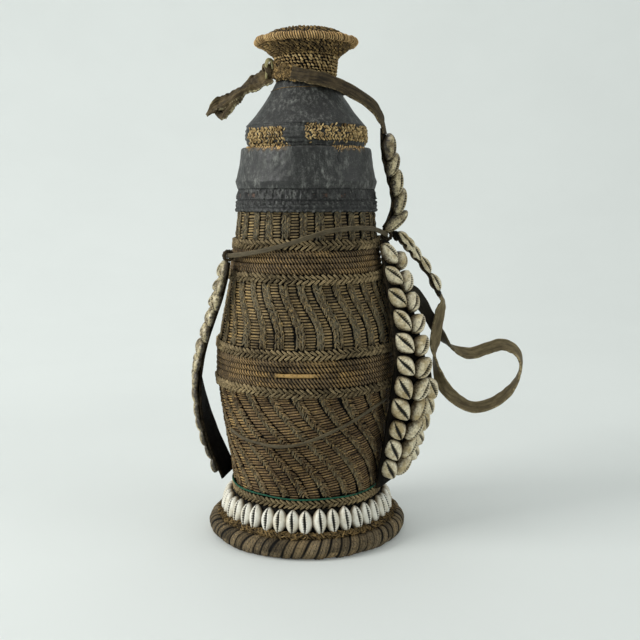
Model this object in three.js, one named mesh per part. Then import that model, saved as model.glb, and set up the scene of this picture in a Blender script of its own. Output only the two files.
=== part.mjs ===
// A woven milk jug: a hollow basket vessel on a coiled foot, with a pitched collar, plaited bands and a lid that
// lifts out of the neck and turns in its leather noose. Leather straps sewn with cowrie shells hang on its sides.
// Millimetres, +Z up, the front faces -Y, and the origin is the middle of the flat underside.
import * as THREE from "three";
import { mergeVertices } from "three/addons/utils/BufferGeometryUtils.js";

// Driving dimensions: general
const ROUND_SIDES = 32; // facets round a turned piece
const GAP = 0.3; // between pieces that touch
const RIGHT_ANGLE = Math.PI / 2;

// Driving dimensions: vessel radii at its levels, and the heights between them
const FOOT_RADIUS = 54.5; // at the foot braid
const BASE_TAPER = 2.5; // how much the vessel draws in from the foot braid to its base
const BELLY_RADIUS = 66.2; // at the braid under the belly band
const BELLY_TAPER = 0.8; // how much narrower the vessel is at the braid over the belly band
const SHOULDER_RADIUS = 52.4; // at the shoulder braid
const SHOULDER_FLARE = 3.4; // how much wider the vessel is at the braid under the shoulder band
const COLLAR_FOOT_RADIUS = 49.6; // at the cord under the collar
const RIM_RADIUS = 43.6; // at the mouth, inside the collar
const VESSEL_WALL = 6;
const VESSEL_FLOOR = 6;
const LOWER_WEAVE_HEIGHT = 83;
const BELLY_BAND_HEIGHT = 26.3;
const UPPER_WEAVE_HEIGHT = 51;
const SHOULDER_BAND_HEIGHT = 23.1;
const NECK_WEAVE_HEIGHT = 24.8;
const COLLAR_HEIGHT = 43;

// Driving dimensions: plaited bands, coiled rows and thongs round the vessel
const BRAID_HEIGHT = 7;
const BRAID_THICKNESS = 2.4;
const COIL_RECESS = 3; // the wall is this much thinner behind the coiled rows
const COIL_ROW_GAP = 0.5; // between one turn of a coiled row and the next
const SHOULDER_COIL_TURNS = 3;
const BELLY_COIL_TURNS = 4;
const TURN_STEPS = 24;
const TUBE_SIDES = 6;
const LOWER_RIBS = 23; // ribs of the weave below the belly band
const UPPER_RIBS = 29; // above the belly band
const NECK_RIBS = 26; // above the shoulder band
const RIB_GROOVE = 1.3; // depth of the groove between two ribs
const LADDER_DEPTH = 0.6; // how far the upper ribs' rungs lie back from the cords beside them
const LOWER_LEAN = THREE.MathUtils.degToRad(52); // how far round the vessel a rib goes on its way down
const UPPER_LEAN = THREE.MathUtils.degToRad(12.8);
const LOWER_START = THREE.MathUtils.degToRad(-99.1); // of one groove, at the top of its weave
const UPPER_START = THREE.MathUtils.degToRad(-109.3);
const GREEN_THREAD = 1.2; // diameter
const GIRDLE_THONG = 3; // diameter
const LOWER_THONG = 1.6; // diameter

// Driving dimensions: collar
const COLLAR_WALL = 3.2;
const COLLAR_BULGE = 1.2; // how far the coated sleeve swells near its foot
const STITCHED_BAND_HEIGHT = 11;
const STITCHED_BAND_WALL = 2;
const RIM_CORD = 5; // height of the rolled cord under the collar
const RIM_CORD_THICKNESS = 2.6;

// Driving dimensions: foot
const MAT_THICKNESS = 9;
const FOOT_ROLL = 13.2; // diameter of the thick outer coil
const FOOT_FLAT = 0.5; // depth of the flat that the outer coil stands on
const INNER_COIL = 3.6; // diameter of the thin coil on the inside of the roll
const SKIRT_WALL = 2.6;
const SKIRT_LEAN = THREE.MathUtils.degToRad(15);
const FOOT_SHELLS = 40;

// Driving dimensions: cowrie shells
const SHELL_LENGTH = 15;
const SHELL_HEIGHT = 5.2;
const SHELL_SLIT = 2.2; // depth of the toothed slit
const SHELL_SEAT = 1.1; // between a shell's ground back and what it is sewn to
const SHELL_THREAD = 1.4; // thickness of the sinew that strings a row of shells
const SHELL_SLANT = THREE.MathUtils.degToRad(45); // of the shells in a herringbone column

// Driving dimensions: leather straps
const LEATHER = 2.2; // thickness
const EYE_CORD = 2.2; // thickness of the twisted eye that a strap hangs on
const EYE_PLAY = 0.5; // between the girdle thong and an eye
const LEFT_EYE_DROP = 8.7; // below the shoulder braid
const RIGHT_EYE_RISE = 5; // above the shoulder braid
const LEFT_STRAP_WIDTH = 24;
const LEFT_STRAP_BOW = 8.5;
const LEFT_SHELLS = 12;
const RIGHT_STRAP_WIDTH = 27; // without its bare front margin
const RIGHT_MARGIN = 5;
const RIGHT_STRAP_BOW = 8.5;
const RIGHT_SHELLS = 11;
const RIGHT_LOW_SHELLS = 5; // in the short third column
const THIRD_COLUMN_WIDTH = 9.5; // how much wider the strap is for the third column
const TAB_WIDTH = 14;
const TAB_BOW = 7;
const TAB_CLEAR = 8.5; // from the collar's mouth to the top of the tab
const TAB_SHELLS = 5;
const HANDLE_WIDTH = 9.5;
const ROOT_SHELLS = 5;

// Driving dimensions: lid
const PLUG_CLEARANCE = 0.6;
const PLUG_WALL = 4.4;
const PLUG_DEPTH = 18;
const LID_COIL_WALL = 7.6; // from the plug to the fullest part of the coil
const LID_COIL_HEIGHT = 15;
const LID_COIL_TUCK = 2.5; // how far the coil draws in where it meets the collar
const CONE_HEIGHT = 31;
const CONE_STEP = 1.5; // how far the cone's foot stands back from the coil
const CONE_TOP_RADIUS = 21.7;
const CONE_SAG = 1.2; // how hollow the side of the cone is
const CONE_WALL = 4;
const CONE_CROWN = 6; // thickness where the cone closes under the lid's neck
const LID_NECK_HEIGHT = 18;
const LID_NECK_FLARE = 1.6;
const LID_NECK_WALL = 5;
const BRIM_RADIUS = 37.2;
const BRIM_EDGE = 5.6; // diameter of the wrapped edge
const BRIM_RISE = 6.6; // from the lid's neck up to the edge
const BRIM_DOME = 8.4;
const NOOSE_WIDTH = 9;
const NOOSE_THICKNESS = 1.8;
const NOOSE_PLAY = 0.6; // between the noose and the lid that turns in it
const NOOSE_RISE = 2; // from the foot of the lid's neck to the middle of the noose
const NOOSE_TILT = 6; // how much higher the noose is at the knot
const KNOT_RADII = new THREE.Vector3(5, 6.5, 6.5);

// Levels, from the floor up
const rollLevel = FOOT_ROLL / 2 - FOOT_FLAT;
const coilReach = (FOOT_ROLL + INNER_COIL) / 2 + GAP; // between the middles of the roll and the inner coil
const COIL_CLIMB = THREE.MathUtils.degToRad(60);
const innerCoilLevel = rollLevel + coilReach * Math.sin(COIL_CLIMB);
const footShellLevel = innerCoilLevel + INNER_COIL / 2 + GAP + (SHELL_LENGTH / 2) * Math.cos(SKIRT_LEAN);
const skirtTop = footShellLevel + (SHELL_LENGTH / 2) * Math.cos(SKIRT_LEAN) + GAP;
const skirtBottom = MAT_THICKNESS + GAP;
const footBraidLevel = skirtTop + GAP + BRAID_HEIGHT / 2;
const bellyLowLevel = footBraidLevel + LOWER_WEAVE_HEIGHT;
const bellyHighLevel = bellyLowLevel + BELLY_BAND_HEIGHT;
const upperLevel = bellyHighLevel + UPPER_WEAVE_HEIGHT;
const shoulderLevel = upperLevel + SHOULDER_BAND_HEIGHT;
const collarFootLevel = shoulderLevel + NECK_WEAVE_HEIGHT;
const rimLevel = collarFootLevel + COLLAR_HEIGHT;
const vesselBottom = MAT_THICKNESS + GAP;

// The vessel's outer radius at a height: a smooth curve through its levels.
const VESSEL_KNOTS = [
  [vesselBottom, FOOT_RADIUS - BASE_TAPER],
  [footBraidLevel, FOOT_RADIUS],
  [bellyLowLevel, BELLY_RADIUS],
  [bellyHighLevel, BELLY_RADIUS - BELLY_TAPER],
  [upperLevel, SHOULDER_RADIUS + SHOULDER_FLARE],
  [shoulderLevel, SHOULDER_RADIUS],
  [collarFootLevel, COLLAR_FOOT_RADIUS],
  [rimLevel, RIM_RADIUS],
];

function slopeAtKnot(k) {
  const before = VESSEL_KNOTS[Math.max(k - 1, 0)];
  const after = VESSEL_KNOTS[Math.min(k + 1, VESSEL_KNOTS.length - 1)];
  return (after[1] - before[1]) / (after[0] - before[0]);
}

function vesselRadius(z) {
  const last = VESSEL_KNOTS.length - 2;
  let k = 0;
  while (k < last && z > VESSEL_KNOTS[k + 1][0]) k += 1;
  const [z0, r0] = VESSEL_KNOTS[k];
  const [z1, r1] = VESSEL_KNOTS[k + 1];
  const h = z1 - z0;
  const t = THREE.MathUtils.clamp((z - z0) / h, 0, 1);
  const fromStart = (1 + 2 * t) * (1 - t) ** 2 * r0 + t * (1 - t) ** 2 * h * slopeAtKnot(k);
  const fromEnd = t * t * (3 - 2 * t) * r1 + t * t * (t - 1) * h * slopeAtKnot(k + 1);
  return fromStart + fromEnd;
}

// A coiled row lies between two braids, and the wall behind it is recessed.
function coilZone(lowBraid, highBraid, turns) {
  const bottom = lowBraid + BRAID_HEIGHT / 2 + GAP;
  const top = highBraid - BRAID_HEIGHT / 2 - GAP;
  const pitch = (top - bottom + COIL_ROW_GAP) / (turns + 1);
  return { bottom, top, turns, pitch, tube: pitch - COIL_ROW_GAP };
}
const bellyZone = coilZone(bellyLowLevel, bellyHighLevel, BELLY_COIL_TURNS);
const shoulderZone = coilZone(upperLevel, shoulderLevel, SHOULDER_COIL_TURNS);

// Materials
const finish = (color, roughness) => new THREE.MeshStandardMaterial({ color, roughness, metalness: 0 });
const weave = finish(0x5a4632, 0.85);
const coil = finish(0x6a5238, 0.85);
const braid = finish(0x6e5c44, 0.85);
const pitch = finish(0x34322f, 0.6);
const tanFibre = finish(0x9a7544, 0.85);
const leather = finish(0x6b5b41, 0.7);
const shell = finish(0xe6dcc4, 0.35);
const greenThread = finish(0x1f7a55, 0.6);

const jug = new THREE.Group();
const vessel = new THREE.Group();
const lidTether = new THREE.Group();
const lid = new THREE.Group();
jug.add(vessel, lidTether, lid);

function add(group, name, geometry, material) {
  const solid = new THREE.Mesh(geometry, material);
  solid.name = name;
  group.add(solid);
  return solid;
}

// A solid of revolution about Z from [radius, height] points that go up the outside and down the inside.
function turned(profile) {
  const onAxis = profile[0][0] === 0;
  const points = profile.map(([r, z]) => new THREE.Vector2(r, z));
  if (!onAxis) points.push(points[0].clone());
  const geometry = new THREE.LatheGeometry(points, ROUND_SIDES);
  return geometry.rotateX(RIGHT_ANGLE);
}

// A ring of round section about Z, as many-sided as asked, with its first corner where the turn says.
function roundRing(radius, level, diameter, corners, turn = 0, floor = -Infinity) {
  const profile = [];
  for (let i = 0; i < corners; i += 1) {
    const a = turn + (i * 2 * Math.PI) / corners;
    const z = Math.max(level + (diameter / 2) * Math.sin(a), floor);
    profile.push([radius + (diameter / 2) * Math.cos(a), z]);
  }
  return turned(profile);
}

// Joins rings of as many points each into one skin. An open run is capped at both ends, and a closed one runs on.
function skin(rings, closed = false) {
  const count = rings[0].length;
  const position = rings.flat().flatMap((p) => [p.x, p.y, p.z]);
  const index = [];
  const runs = closed ? rings.length : rings.length - 1;
  for (let i = 0; i < runs; i += 1) {
    const here = i * count;
    const next = ((i + 1) % rings.length) * count;
    for (let k = 0; k < count; k += 1) {
      const m = (k + 1) % count;
      index.push(here + k, next + m, here + m, here + k, next + k, next + m);
    }
  }
  if (!closed) {
    const end = (rings.length - 1) * count;
    for (let k = 1; k < count - 1; k += 1) {
      index.push(0, k, k + 1);
      index.push(end, end + k + 1, end + k);
    }
  }
  const geometry = new THREE.BufferGeometry();
  geometry.setAttribute("position", new THREE.Float32BufferAttribute(position, 3));
  geometry.setIndex(index);
  geometry.computeVertexNormals();
  return geometry;
}

// A flat strap through stations, each with a middle, a unit direction across the strap and a unit outward one.
function ribbon(stations, width, thickness, closed = false) {
  const rings = stations.map(({ middle, across, out }) => {
    const side = (a, b) =>
      middle.clone().addScaledVector(across, (a * width) / 2).addScaledVector(out, (b * thickness) / 2);
    return [side(-1, -1), side(1, -1), side(1, 1), side(-1, 1)];
  });
  return skin(rings, closed);
}

// A round tube along a curve, with flat ends.
function tube(curve, diameter, steps) {
  const section = new THREE.Shape();
  for (let k = 0; k < TUBE_SIDES; k += 1) {
    const a = (k * 2 * Math.PI) / TUBE_SIDES;
    const x = (diameter / 2) * Math.cos(a);
    const y = (diameter / 2) * Math.sin(a);
    if (k === 0) section.moveTo(x, y);
    else section.lineTo(x, y);
  }
  const swept = new THREE.ExtrudeGeometry(section, { steps, extrudePath: curve, curveSegments: 1 });
  swept.deleteAttribute("normal");
  swept.deleteAttribute("uv");
  return mergeVertices(swept);
}

const polar = (radius, angle, z) => new THREE.Vector3(radius * Math.cos(angle), radius * Math.sin(angle), z);
const heading = (angle) => new THREE.Vector3(Math.cos(angle), Math.sin(angle), 0);
const degrees = THREE.MathUtils.degToRad;

// Stations along a path of middles, with the strap's face turned towards the given direction at each one.
function stationsOf(middles, faces) {
  return middles.map((middle, i) => {
    const along = middles[Math.min(i + 1, middles.length - 1)].clone().sub(middles[Math.max(i - 1, 0)]);
    along.normalize();
    const across = new THREE.Vector3().crossVectors(along, faces[i]).normalize();
    const out = new THREE.Vector3().crossVectors(across, along).normalize();
    return { middle, along, across, out };
  });
}

// The station at a share of the way along, between its two neighbours.
function stationAt(stations, share) {
  const at = share * (stations.length - 1);
  const i = Math.min(Math.floor(at), stations.length - 2);
  const mix = (key) => stations[i][key].clone().lerp(stations[i + 1][key], at - i);
  return {
    middle: mix("middle"),
    along: mix("along").normalize(),
    across: mix("across").normalize(),
    out: mix("out").normalize(),
  };
}

// A row of cowries strung on sinew. Each seat has the middle of a shell's ground back, the unit direction of the
// row, the shell's long direction and its outward direction, and the share of the row's pitch on either side.
const SHELL_OUTLINE = [
  [-0.5, 0],
  [0.5, 0],
  [0.34, 0.78],
  [0, 1],
  [-0.34, 0.78],
];
const LIP_SHARE = 0.24; // from a shell's slit to the crown of its lip, as a share of the pitch

function shellRow(seats, pitchLength, closed = false) {
  const slice = (seat, shift, length, height) =>
    SHELL_OUTLINE.map(([a, b]) =>
      seat.middle
        .clone()
        .addScaledVector(seat.row, shift)
        .addScaledVector(seat.long, a * length)
        .addScaledVector(seat.out, b * height),
    );
  const thread = (seat, shift) => slice(seat, shift, SHELL_THREAD, SHELL_THREAD);
  const between = (first, second) =>
    first.map((p, k) => p.clone().lerp(second[k], 0.5));
  const rings = [];
  seats.forEach((seat, i) => {
    const lip = LIP_SHARE * pitchLength;
    const start = thread(seat, -pitchLength / 2);
    const before = seats[i - 1] ?? (closed ? seats[seats.length - 1] : null);
    rings.push(before ? between(thread(before, pitchLength / 2), start) : start);
    rings.push(slice(seat, -lip, SHELL_LENGTH, SHELL_HEIGHT));
    rings.push(slice(seat, 0, SHELL_LENGTH, SHELL_HEIGHT - SHELL_SLIT));
    rings.push(slice(seat, lip, SHELL_LENGTH, SHELL_HEIGHT));
  });
  if (!closed) rings.push(thread(seats[seats.length - 1], pitchLength / 2));
  return skin(rings, closed);
}

// Seats for a column of shells along a strap, at a distance across it, slanted one way or the other.
function columnSeats(stations, strapThickness, from, to, count, aside, slant) {
  return Array.from({ length: count }, (_, i) => {
    const s = stationAt(stations, from + ((to - from) * (i + 0.5)) / count);
    const long = s.across.clone().multiplyScalar(Math.cos(slant)).addScaledVector(s.along, Math.sin(slant));
    const middle = s.middle
      .clone()
      .addScaledVector(s.across, aside)
      .addScaledVector(s.out, strapThickness / 2 + SHELL_SEAT);
    return { middle, row: s.along, long, out: s.out };
  });
}

const pathLength = (stations) =>
  stations.reduce((sum, s, i) => sum + (i ? s.middle.distanceTo(stations[i - 1].middle) : 0), 0);

// Vessel: the hollow basket, open at the mouth, with the main ribs of its three weaves

// Ribs of one weave. A profile has shares of a rib's width from its groove on, each with a depth.
const LADDER_PROFILE = [
  [0, RIB_GROOVE],
  [0.06, 0],
  [0.44, 0],
  [0.5, LADDER_DEPTH],
  [0.94, LADDER_DEPTH],
];
const HERRINGBONE_PROFILE = [
  [0, RIB_GROOVE],
  [0.06, 0],
  [0.5, 0],
  [0.94, 0],
];
const eased = (t) => t * t * (3 - 2 * t);
const clearOf = (level, half, side) => level + side * (half + GAP);
const halfBraid = BRAID_HEIGHT / 2;
const weaves = {
  lower: {
    low: clearOf(footBraidLevel, halfBraid, 1) + GREEN_THREAD + GAP,
    high: clearOf(bellyLowLevel, halfBraid, -1),
    ribs: LOWER_RIBS,
    start: LOWER_START,
    steps: 10,
    profile: HERRINGBONE_PROFILE,
    lean: (t) => LOWER_LEAN * (0.45 * t + 0.55 * eased(t)),
  },
  upper: {
    low: clearOf(bellyHighLevel, halfBraid, 1),
    high: clearOf(upperLevel, halfBraid, -1),
    ribs: UPPER_RIBS,
    start: UPPER_START,
    steps: 6,
    profile: LADDER_PROFILE,
    lean: (t) => UPPER_LEAN * eased(Math.min(t / 0.8, 1)),
  },
  neck: {
    low: clearOf(shoulderLevel, halfBraid, 1),
    high: clearOf(collarFootLevel, RIM_CORD / 2, -1),
    ribs: NECK_RIBS,
    start: UPPER_START,
    steps: 2,
    profile: LADDER_PROFILE,
    lean: () => 0,
  },
};

// One level ring of points, each at an angle, a radius and a height.
function ribRing(weaveZone, step) {
  const { low, high, ribs, start, steps, profile, lean } = weaveZone;
  const z = low + ((high - low) * step) / steps;
  const shift = start + lean(1 - step / steps);
  const edge = (k) => k + 0.1 * Math.sin(2.4 * (k % ribs));
  const ring = [];
  for (let k = 0; k < ribs; k += 1) {
    profile.forEach(([share, depth]) => {
      const place = edge(k) + share * (edge(k + 1) - edge(k));
      ring.push([shift + (place * 2 * Math.PI) / ribs, vesselRadius(z) - depth, z]);
    });
  }
  return ring;
}

function plainRing(radius, z) {
  return Array.from({ length: ROUND_SIDES }, (_, k) => [(k * 2 * Math.PI) / ROUND_SIDES, radius, z]);
}

// Laces rings of any number of points into one skin, from a point on the axis to another.
function laced(rings, firstLevel, lastLevel) {
  const fullTurn = 2 * Math.PI;
  const turn = (a) => ((a % fullTurn) + fullTurn) % fullTurn;
  const position = [0, 0, firstLevel];
  const index = [];
  let before = null;
  rings.forEach((ring) => {
    const start = position.length / 3;
    ring.forEach(([angle, radius, z]) => position.push(...polar(radius, angle, z).toArray()));
    const count = ring.length;
    const at = (k) => start + (k % count);
    if (!before) {
      for (let k = 0; k < count; k += 1) index.push(0, at(k + 1), at(k));
    } else {
      const { ring: other, at: otherAt } = before;
      const sameRibs = other.length === count && count !== ROUND_SIDES;
      const origin = other[0][0];
      const away = (k) => Math.abs(turn(ring[k][0] - origin + Math.PI) - Math.PI);
      let first = 0;
      if (!sameRibs) for (let k = 1; k < count; k += 1) if (away(k) < away(first)) first = k;
      const head = turn(ring[first][0] - origin + Math.PI) - Math.PI;
      const below = (i) => (i >= other.length ? fullTurn : turn(other[i][0] - origin));
      const above = (j) => (j >= count ? fullTurn : turn(ring[(first + j) % count][0] - ring[first][0])) + head;
      let i = 0;
      let j = 0;
      while (i < other.length || j < count) {
        const nextBelow = sameRibs ? i : below(i + 1);
        const nextAbove = sameRibs ? j : above(j + 1);
        if (j === count || (i < other.length && nextBelow <= nextAbove)) {
          index.push(otherAt(i), otherAt(i + 1), at(first + j));
          i += 1;
        } else {
          index.push(otherAt(i), at(first + j + 1), at(first + j));
          j += 1;
        }
      }
    }
    before = { ring, at };
  });
  const pole = position.length / 3;
  position.push(0, 0, lastLevel);
  const last = before.ring.length;
  for (let k = 0; k < last; k += 1) index.push(before.at(k), before.at(k + 1), pole);
  const geometry = new THREE.BufferGeometry();
  geometry.setAttribute("position", new THREE.Float32BufferAttribute(position, 3));
  geometry.setIndex(index);
  geometry.computeVertexNormals();
  return geometry;
}

function basket() {
  const rings = [];
  const plain = (z, depth = 0) => rings.push(plainRing(vesselRadius(z) - depth, z));
  const ribbed = (weaveZone) => {
    for (let step = 0; step <= weaveZone.steps; step += 1) rings.push(ribRing(weaveZone, step));
  };
  const recessed = (zone) => {
    plain(zone.bottom);
    plain(zone.bottom, COIL_RECESS);
    plain(zone.top, COIL_RECESS);
    plain(zone.top);
  };
  plain(vesselBottom);
  plain(skirtTop);
  plain(weaves.lower.low - GAP);
  ribbed(weaves.lower);
  plain(weaves.lower.high + GAP);
  recessed(bellyZone);
  plain(weaves.upper.low - GAP);
  ribbed(weaves.upper);
  plain(weaves.upper.high + GAP);
  recessed(shoulderZone);
  plain(weaves.neck.low - GAP);
  ribbed(weaves.neck);
  plain(weaves.neck.high + GAP);
  plain(collarFootLevel + (COLLAR_HEIGHT * 2) / 5);
  plain(rimLevel);
  const floor = vesselBottom + VESSEL_FLOOR;
  const innerLevels = [rimLevel, collarFootLevel, upperLevel, bellyHighLevel, bellyLowLevel, footBraidLevel, floor];
  innerLevels.forEach((z) => plain(z, VESSEL_WALL));
  return laced(rings, vesselBottom, floor);
}

// A plaited band round the vessel
function braidRing(level) {
  const half = BRAID_HEIGHT / 2;
  const wall = (z, thickness) => [vesselRadius(z) + GAP + thickness, z];
  return turned([
    wall(level - half, 0),
    wall(level - half, BRAID_THICKNESS / 2),
    wall(level - half / 2, BRAID_THICKNESS),
    wall(level + half / 2, BRAID_THICKNESS),
    wall(level + half, BRAID_THICKNESS / 2),
    wall(level + half, 0),
  ]);
}

// A coiled row: one unbroken wrapped bundle wound up the recessed wall
class CoilRow extends THREE.Curve {
  constructor(zone) {
    super();
    this.zone = zone;
    this.arcLengthDivisions = zone.turns * TURN_STEPS * 8;
  }

  getPoint(t, target = new THREE.Vector3()) {
    const { bottom, turns, pitch: rise, tube: diameter } = this.zone;
    const z = bottom + diameter / 2 + t * turns * rise;
    const lowest = vesselRadius(z - diameter / 2);
    const highest = vesselRadius(z + diameter / 2);
    const wall = Math.max(lowest, highest) - COIL_RECESS;
    const radius = (wall + GAP + diameter / 2) / Math.cos(Math.PI / TURN_STEPS);
    return target.copy(polar(radius, t * turns * 2 * Math.PI, z));
  }
}

function coilRow(name, zone) {
  const curve = new CoilRow(zone);
  const steps = zone.turns * TURN_STEPS;
  const points = curve.getSpacedPoints(steps);
  let least = Infinity;
  points.forEach((p, i) =>
    points.slice(i + TURN_STEPS / 2).forEach((q) => {
      least = Math.min(least, p.distanceTo(q) - zone.tube);
    }),
  );
  console.log(`${name}: the turns are ${least.toFixed(2)} mm apart`);
  add(vessel, name, tube(curve, zone.tube, steps), coil);
}

add(vessel, "vessel_basket", basket(), weave);
add(vessel, "foot_braid", braidRing(footBraidLevel), braid);
add(vessel, "belly_low_braid", braidRing(bellyLowLevel), braid);
add(vessel, "belly_high_braid", braidRing(bellyHighLevel), braid);
add(vessel, "upper_braid", braidRing(upperLevel), braid);
add(vessel, "shoulder_braid", braidRing(shoulderLevel), braid);
coilRow("belly_coil_rows", bellyZone);
coilRow("shoulder_coil_rows", shoulderZone);

const threadLevel = footBraidLevel + BRAID_HEIGHT / 2 + GAP + GREEN_THREAD / 2;
const threadRadius = vesselRadius(threadLevel + GREEN_THREAD / 2) + GAP + GREEN_THREAD / 2;
const threadCorners = 5;
add(vessel, "green_thread", roundRing(threadRadius, threadLevel, GREEN_THREAD, threadCorners), greenThread);

// Collar: a rolled cord, a stitched band and a coated sleeve, one above the other round the neck
const sleeveBottom = collarFootLevel + RIM_CORD / 2 + GAP + STITCHED_BAND_HEIGHT + GAP;
const collarWall = (z, thickness) => [vesselRadius(z) + GAP + thickness, z];

function rimCord() {
  const low = collarFootLevel - RIM_CORD / 2;
  const high = collarFootLevel + RIM_CORD / 2;
  return turned([
    collarWall(low, 0),
    collarWall(low, RIM_CORD_THICKNESS / 2),
    collarWall(collarFootLevel, RIM_CORD_THICKNESS),
    collarWall(high, RIM_CORD_THICKNESS / 2),
    collarWall(high, 0),
  ]);
}

function stitchedBand() {
  const low = collarFootLevel + RIM_CORD / 2 + GAP;
  const high = low + STITCHED_BAND_HEIGHT;
  return turned([
    collarWall(low, 0),
    collarWall(low, STITCHED_BAND_WALL),
    collarWall(high, STITCHED_BAND_WALL),
    collarWall(high, 0),
  ]);
}

function collarSleeve() {
  const bulge = sleeveBottom + (rimLevel - sleeveBottom) / 6;
  const waist = (bulge + rimLevel) / 2;
  return turned([
    collarWall(sleeveBottom, 0),
    collarWall(sleeveBottom, STITCHED_BAND_WALL),
    collarWall(bulge, COLLAR_WALL + COLLAR_BULGE),
    collarWall(waist, COLLAR_WALL),
    collarWall(rimLevel, COLLAR_WALL),
    collarWall(rimLevel, 0),
  ]);
}

add(vessel, "collar_rim_cord", rimCord(), pitch);
add(vessel, "collar_stitched_band", stitchedBand(), pitch);
add(vessel, "collar_sleeve", collarSleeve(), pitch);

// Foot: a leaning skirt with its row of shells, the coil on the inside of the roll, the roll and the mat
const skirtRadius = (z) => {
  const top = vesselRadius(skirtTop) + GAP + SKIRT_WALL;
  return top + (skirtTop - z) * Math.tan(SKIRT_LEAN);
};
const innerCoilRadius = skirtRadius(innerCoilLevel) + GAP / Math.cos(SKIRT_LEAN) + INNER_COIL / 2;
const rollRadius = innerCoilRadius + coilReach * Math.cos(COIL_CLIMB);
const matRadius = rollRadius - FOOT_ROLL / 2 - GAP;

function skirt() {
  return turned([
    [vesselRadius(skirtBottom) + GAP, skirtBottom],
    [matRadius, skirtBottom],
    [skirtRadius(innerCoilLevel), innerCoilLevel],
    [skirtRadius(skirtTop), skirtTop],
    [vesselRadius(skirtTop) + GAP, skirtTop],
  ]);
}

function footShells() {
  const seatRadius = skirtRadius(footShellLevel) + SHELL_SEAT * Math.cos(SKIRT_LEAN);
  const seatLevel = footShellLevel + SHELL_SEAT * Math.sin(SKIRT_LEAN);
  const seats = Array.from({ length: FOOT_SHELLS }, (_, i) => {
    const a = -RIGHT_ANGLE + (i * 2 * Math.PI) / FOOT_SHELLS;
    const up = new THREE.Vector3(0, 0, 1);
    const long = up.clone().multiplyScalar(Math.cos(SKIRT_LEAN));
    long.addScaledVector(heading(a), -Math.sin(SKIRT_LEAN));
    const out = heading(a).multiplyScalar(Math.cos(SKIRT_LEAN)).addScaledVector(up, Math.sin(SKIRT_LEAN));
    return { middle: polar(seatRadius, a, seatLevel), row: heading(a - RIGHT_ANGLE), long, out };
  });
  seats.reverse();
  return shellRow(seats, (2 * Math.PI * seatRadius) / FOOT_SHELLS, true);
}

const rollCorners = 10;
const coilCorners = 6;
const rollTurn = -RIGHT_ANGLE + Math.PI / rollCorners;
add(vessel, "foot_skirt", skirt(), weave);
add(vessel, "foot_shell_row", footShells(), shell);
add(vessel, "foot_inner_coil", roundRing(innerCoilRadius, innerCoilLevel, INNER_COIL, coilCorners), tanFibre);
add(vessel, "foot_roll", roundRing(rollRadius, rollLevel, FOOT_ROLL, rollCorners, rollTurn, 0), coil);
const mat = [
  [0, 0],
  [matRadius, 0],
  [matRadius, MAT_THICKNESS],
  [0, MAT_THICKNESS],
];
add(vessel, "foot_mat", turned(mat), coil);

// Eyes: twisted leather loops against the vessel, which the girdle thong runs through and the straps hang on
const eyeRing = (GIRDLE_THONG + EYE_CORD) / 2 + EYE_PLAY; // to the middle of the eye's cord
const eyeReach = eyeRing + EYE_CORD / 2;
const eyeStandOff = BRAID_THICKNESS + 2 * GAP + eyeReach;
const LEFT_EYE_ANGLE = degrees(205);
const RIGHT_EYE_ANGLE = degrees(-8);
const leftEyeLevel = shoulderLevel - LEFT_EYE_DROP;
const rightEyeLevel = shoulderLevel + RIGHT_EYE_RISE;
const eyeRadius = (level) => vesselRadius(level - eyeReach) + eyeStandOff;

function eye(name, angle, level) {
  const facets = 14;
  const ring = new THREE.TorusGeometry(eyeRing, EYE_CORD / 2, TUBE_SIDES, facets);
  const solid = add(vessel, name, ring.rotateX(RIGHT_ANGLE), leather);
  solid.position.copy(polar(eyeRadius(level), angle, level));
  solid.rotation.z = angle;
}
eye("left_eye", LEFT_EYE_ANGLE, leftEyeLevel);
eye("right_eye", RIGHT_EYE_ANGLE, rightEyeLevel);

// Girdle thong: a closed loop through both eyes, at [degrees, height above the shoulder braid]
const girdleSeat = BRAID_THICKNESS + 2 * GAP + GIRDLE_THONG / 2;
const GIRDLE_ROUTE = [
  [220, -7],
  [238, -4],
  [258, 1],
  [273, 6],
  [288, 10],
  [305, 11.5],
  [328, 10.5],
  [20, 2],
  [60, -1],
  [100, -3],
  [140, -6],
  [178, -9],
];

function girdle() {
  const middles = GIRDLE_ROUTE.map(([a, rise]) => {
    const z = shoulderLevel + rise;
    return polar(vesselRadius(z - GIRDLE_THONG) + girdleSeat, degrees(a), z);
  });
  const backStart = 7; // the route's first point behind the right eye
  middles.splice(backStart, 0, polar(eyeRadius(rightEyeLevel), RIGHT_EYE_ANGLE, rightEyeLevel));
  middles.push(polar(eyeRadius(leftEyeLevel), LEFT_EYE_ANGLE, leftEyeLevel));
  const curve = new THREE.CatmullRomCurve3(middles, true);
  const steps = 60;
  const loop = new THREE.TubeGeometry(curve, steps, GIRDLE_THONG / 2, TUBE_SIDES, true);
  loop.deleteAttribute("normal");
  loop.deleteAttribute("uv");
  return mergeVertices(loop, GAP / 10);
}
add(vessel, "girdle_thong", girdle(), leather);

// Lower thong: it lies on the front of the lower weave, at [degrees, height above the foot braid]
const LOWER_ROUTE = [
  [211, 49],
  [223, 46],
  [237, 44.5],
  [250, 43.6],
  [263, 45.4],
  [274, 49.1],
  [286, 54.5],
  [299, 60.4],
  [314, 67.3],
  [331, 72],
];

function lowerThong() {
  const middles = LOWER_ROUTE.map(([a, rise]) => {
    const z = footBraidLevel + rise;
    return polar(vesselRadius(z + LOWER_THONG / 2) + GAP + LOWER_THONG / 2, degrees(a), z);
  });
  const steps = 26;
  return tube(new THREE.CatmullRomCurve3(middles), LOWER_THONG, steps);
}
add(vessel, "lower_thong", lowerThong(), leather);

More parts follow.
